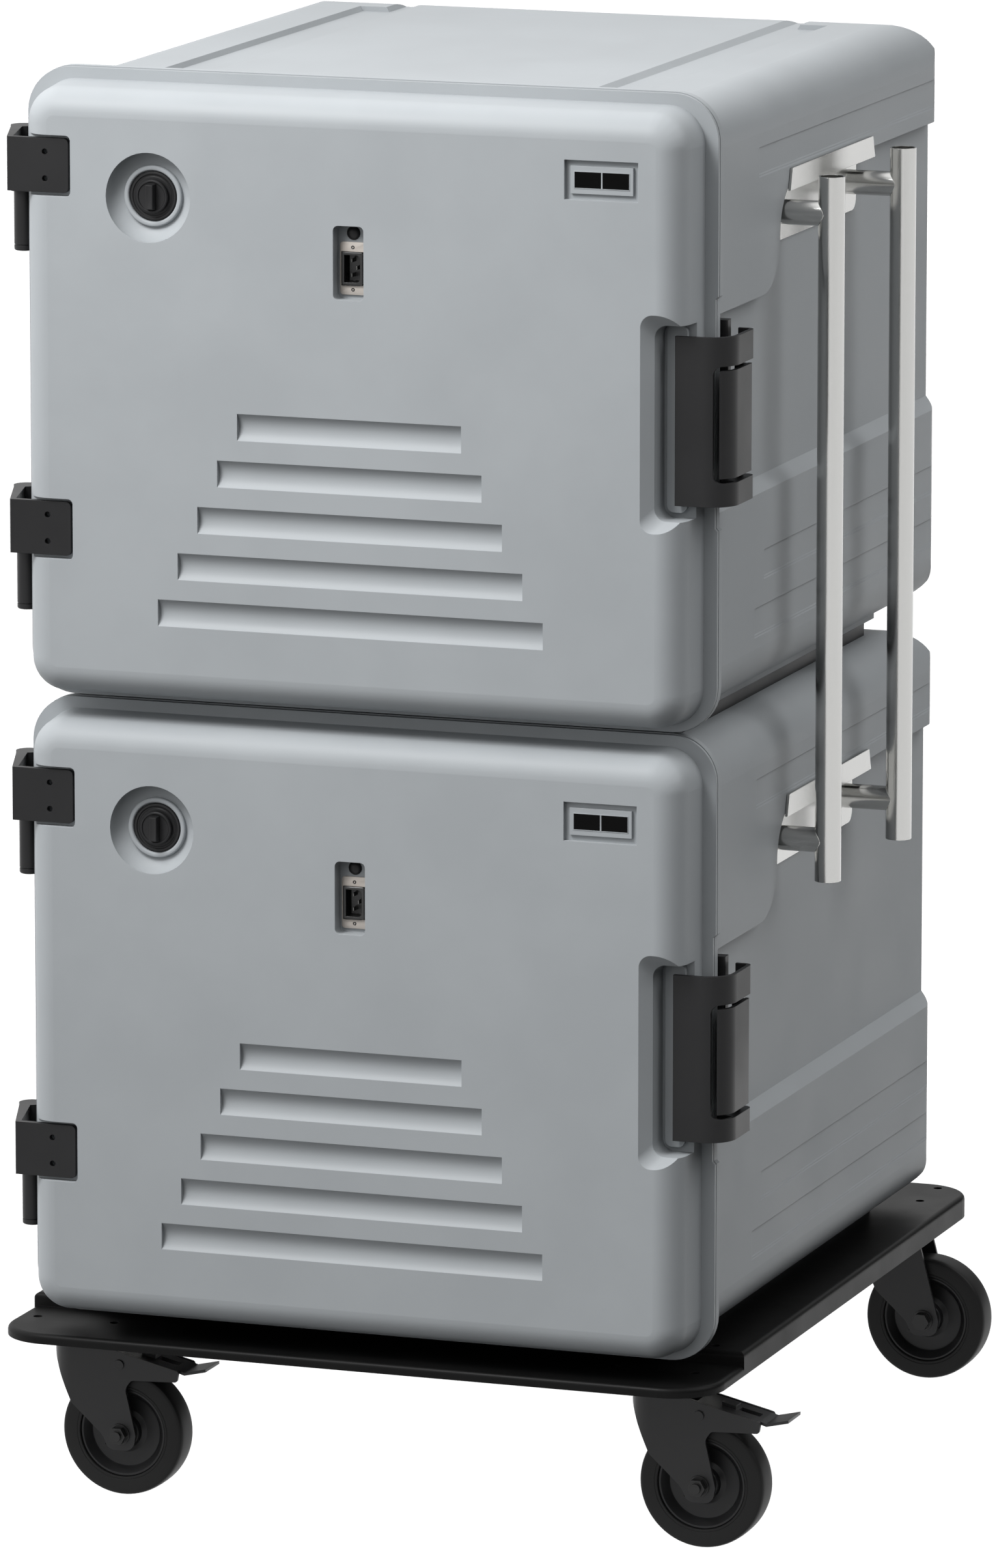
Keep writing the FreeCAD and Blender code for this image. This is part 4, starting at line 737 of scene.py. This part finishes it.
# --------------------------------------------------------------------------- studio
@dataclass
class Studio:
    """Pale floor, soft lights and a long lens at the right front of the cart."""

    eye: tuple[float, float, float] = (3.474617, -9.745796, 2.644583)
    yaw_deg: float = 19.745
    pitch_deg: float = 10.860
    lens_mm: float = 246.83
    sensor_mm: float = 36.0
    floor_m: float = 160.0
    dome_way: Vector = field(default_factory=lambda: Vector((-0.60, -0.12, 0.74)))
    dome_even: float = 0.37          # light of the dome from every side
    dome_lean: float = 1.50          # and how much stronger it is from its bright side
    key_at: Vector = field(default_factory=lambda: Vector((-0.9, -1.9, 3.0)))
    key_size: float = 1.0
    key_power: float = 18.5
    key_aim: Vector = field(default_factory=lambda: Vector((0, -0.4, 0.95)))
    key_spread_deg: float = 90.0
    fill_at: Vector = field(default_factory=lambda: Vector((2.6, 0.1, 2.7)))
    fill_aim: Vector = field(default_factory=lambda: Vector((0.3, 0, 0.9)))
    fill_size: float = 2.4
    fill_power: float = 41.0
    floor_power: float = 43.5        # evens out the shadow on the floor
    floor_lamp_deg: float = 20.0
    dome_least: float = 0.03         # light of the dome where it is darkest

    def camera(self) -> None:
        """Set the camera up at the viewing angle."""
        data = bpy.data.cameras.new("camera")
        data.sensor_fit = "VERTICAL"
        data.sensor_height = self.sensor_mm
        data.lens = self.lens_mm
        data.clip_end = 200.0
        holder = bpy.data.objects.new("camera", data)
        bpy.context.scene.collection.objects.link(holder)
        turn = (Matrix.Rotation(math.radians(self.yaw_deg), 4, "Z")
                @ Matrix.Rotation(math.radians(90 - self.pitch_deg), 4, "X"))
        holder.matrix_world = Matrix.Translation(self.eye) @ turn
        bpy.context.scene.camera = holder

    def light(self, name: str, where: Vector, aim: Vector, size: float, power: float,
              spread_deg: float = 180.0) -> None:
        """Hang one square soft box.

        Args:
            name: the light's name.
            where: its middle.
            aim: the point it faces.
            size: edge length in metres.
            power: radiant power in watts.
            spread_deg: how wide its beam opens.
        """
        data = bpy.data.lights.new(name, "AREA")
        data.size = size
        data.energy = power
        data.spread = math.radians(spread_deg)
        holder = bpy.data.objects.new(name, data)
        bpy.context.scene.collection.objects.link(holder)
        holder.location = where
        holder.rotation_euler = (aim - where).to_track_quat("-Z", "Y").to_euler()

    def floor_lamp(self, floor: bpy.types.Object) -> None:
        """Add a sun that lights the floor alone and that nothing else shades.

        Args:
            floor: the studio floor.
        """
        lamp = bpy.data.lights.new("floor_lamp", "SUN")
        lamp.energy = self.floor_power
        lamp.angle = math.radians(self.floor_lamp_deg)
        holder = bpy.data.objects.new("floor_lamp", lamp)
        bpy.context.scene.collection.objects.link(holder)
        lit = bpy.data.collections.new("floor_only")
        lit.objects.link(floor)
        holder.light_linking.receiver_collection = lit
        holder.light_linking.blocker_collection = lit

    def dome(self) -> None:
        """Light the scene from a white dome that is brighter toward one side."""
        world = bpy.data.worlds.new("studio")
        world.use_nodes = True
        tree = world.node_tree
        sky = tree.nodes["Background"]
        sky.inputs["Color"].default_value = (1.0, 1.0, 1.0, 1.0)
        place = add(tree, "ShaderNodeTexCoord", {}, {})
        lean = add(tree, "ShaderNodeVectorMath", {"operation": "DOT_PRODUCT", 1: self.dome_way},
                   {0: place.outputs["Generated"]})
        strength = add(tree, "ShaderNodeMapRange",
                       {"From Min": -1.0, "From Max": 1.0,
                        "To Min": self.dome_even - self.dome_lean,
                        "To Max": self.dome_even + self.dome_lean},
                       {"Value": lean.outputs["Value"]})
        bright = add(tree, "ShaderNodeMath", {"operation": "MAXIMUM", 1: self.dome_least},
                     {0: strength.outputs["Result"]})
        tree.links.new(bright.outputs["Value"], sky.inputs["Strength"])
        bpy.context.scene.world = world
        bpy.context.scene.view_settings.view_transform = "Standard"

    def build(self) -> None:
        """Build the floor, the dome and the lights."""
        self.camera()
        bpy.ops.object.select_all(action="DESELECT")
        bpy.ops.mesh.primitive_plane_add(size=self.floor_m, location=(0, 0, 0))
        floor = bpy.context.object
        floor.name = "floor"
        paper = Finish("white_paper_floor", "#4E4E4E", "#4C4C4C", 0.9, 4.0, 0.01, specular=0.0,
                       rough_spread=0.02)
        floor.data.materials.append(paper.build())
        floor.visible_diffuse = False
        self.dome()
        self.light("key", self.key_at, self.key_aim, self.key_size, self.key_power,
                   self.key_spread_deg)
        self.light("fill", self.fill_at, self.fill_aim, self.fill_size, self.fill_power)
        self.floor_lamp(floor)
        log.info("studio ready")


def main() -> None:
    """Dress the cart."""
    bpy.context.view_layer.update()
    Studio().build()
    dress_nodes()
    for assembly in (PowerInlet(), Vent(), DisplayTrim(), CasterWheel()):
        assembly.build()


if __name__ == "__main__":
    main()
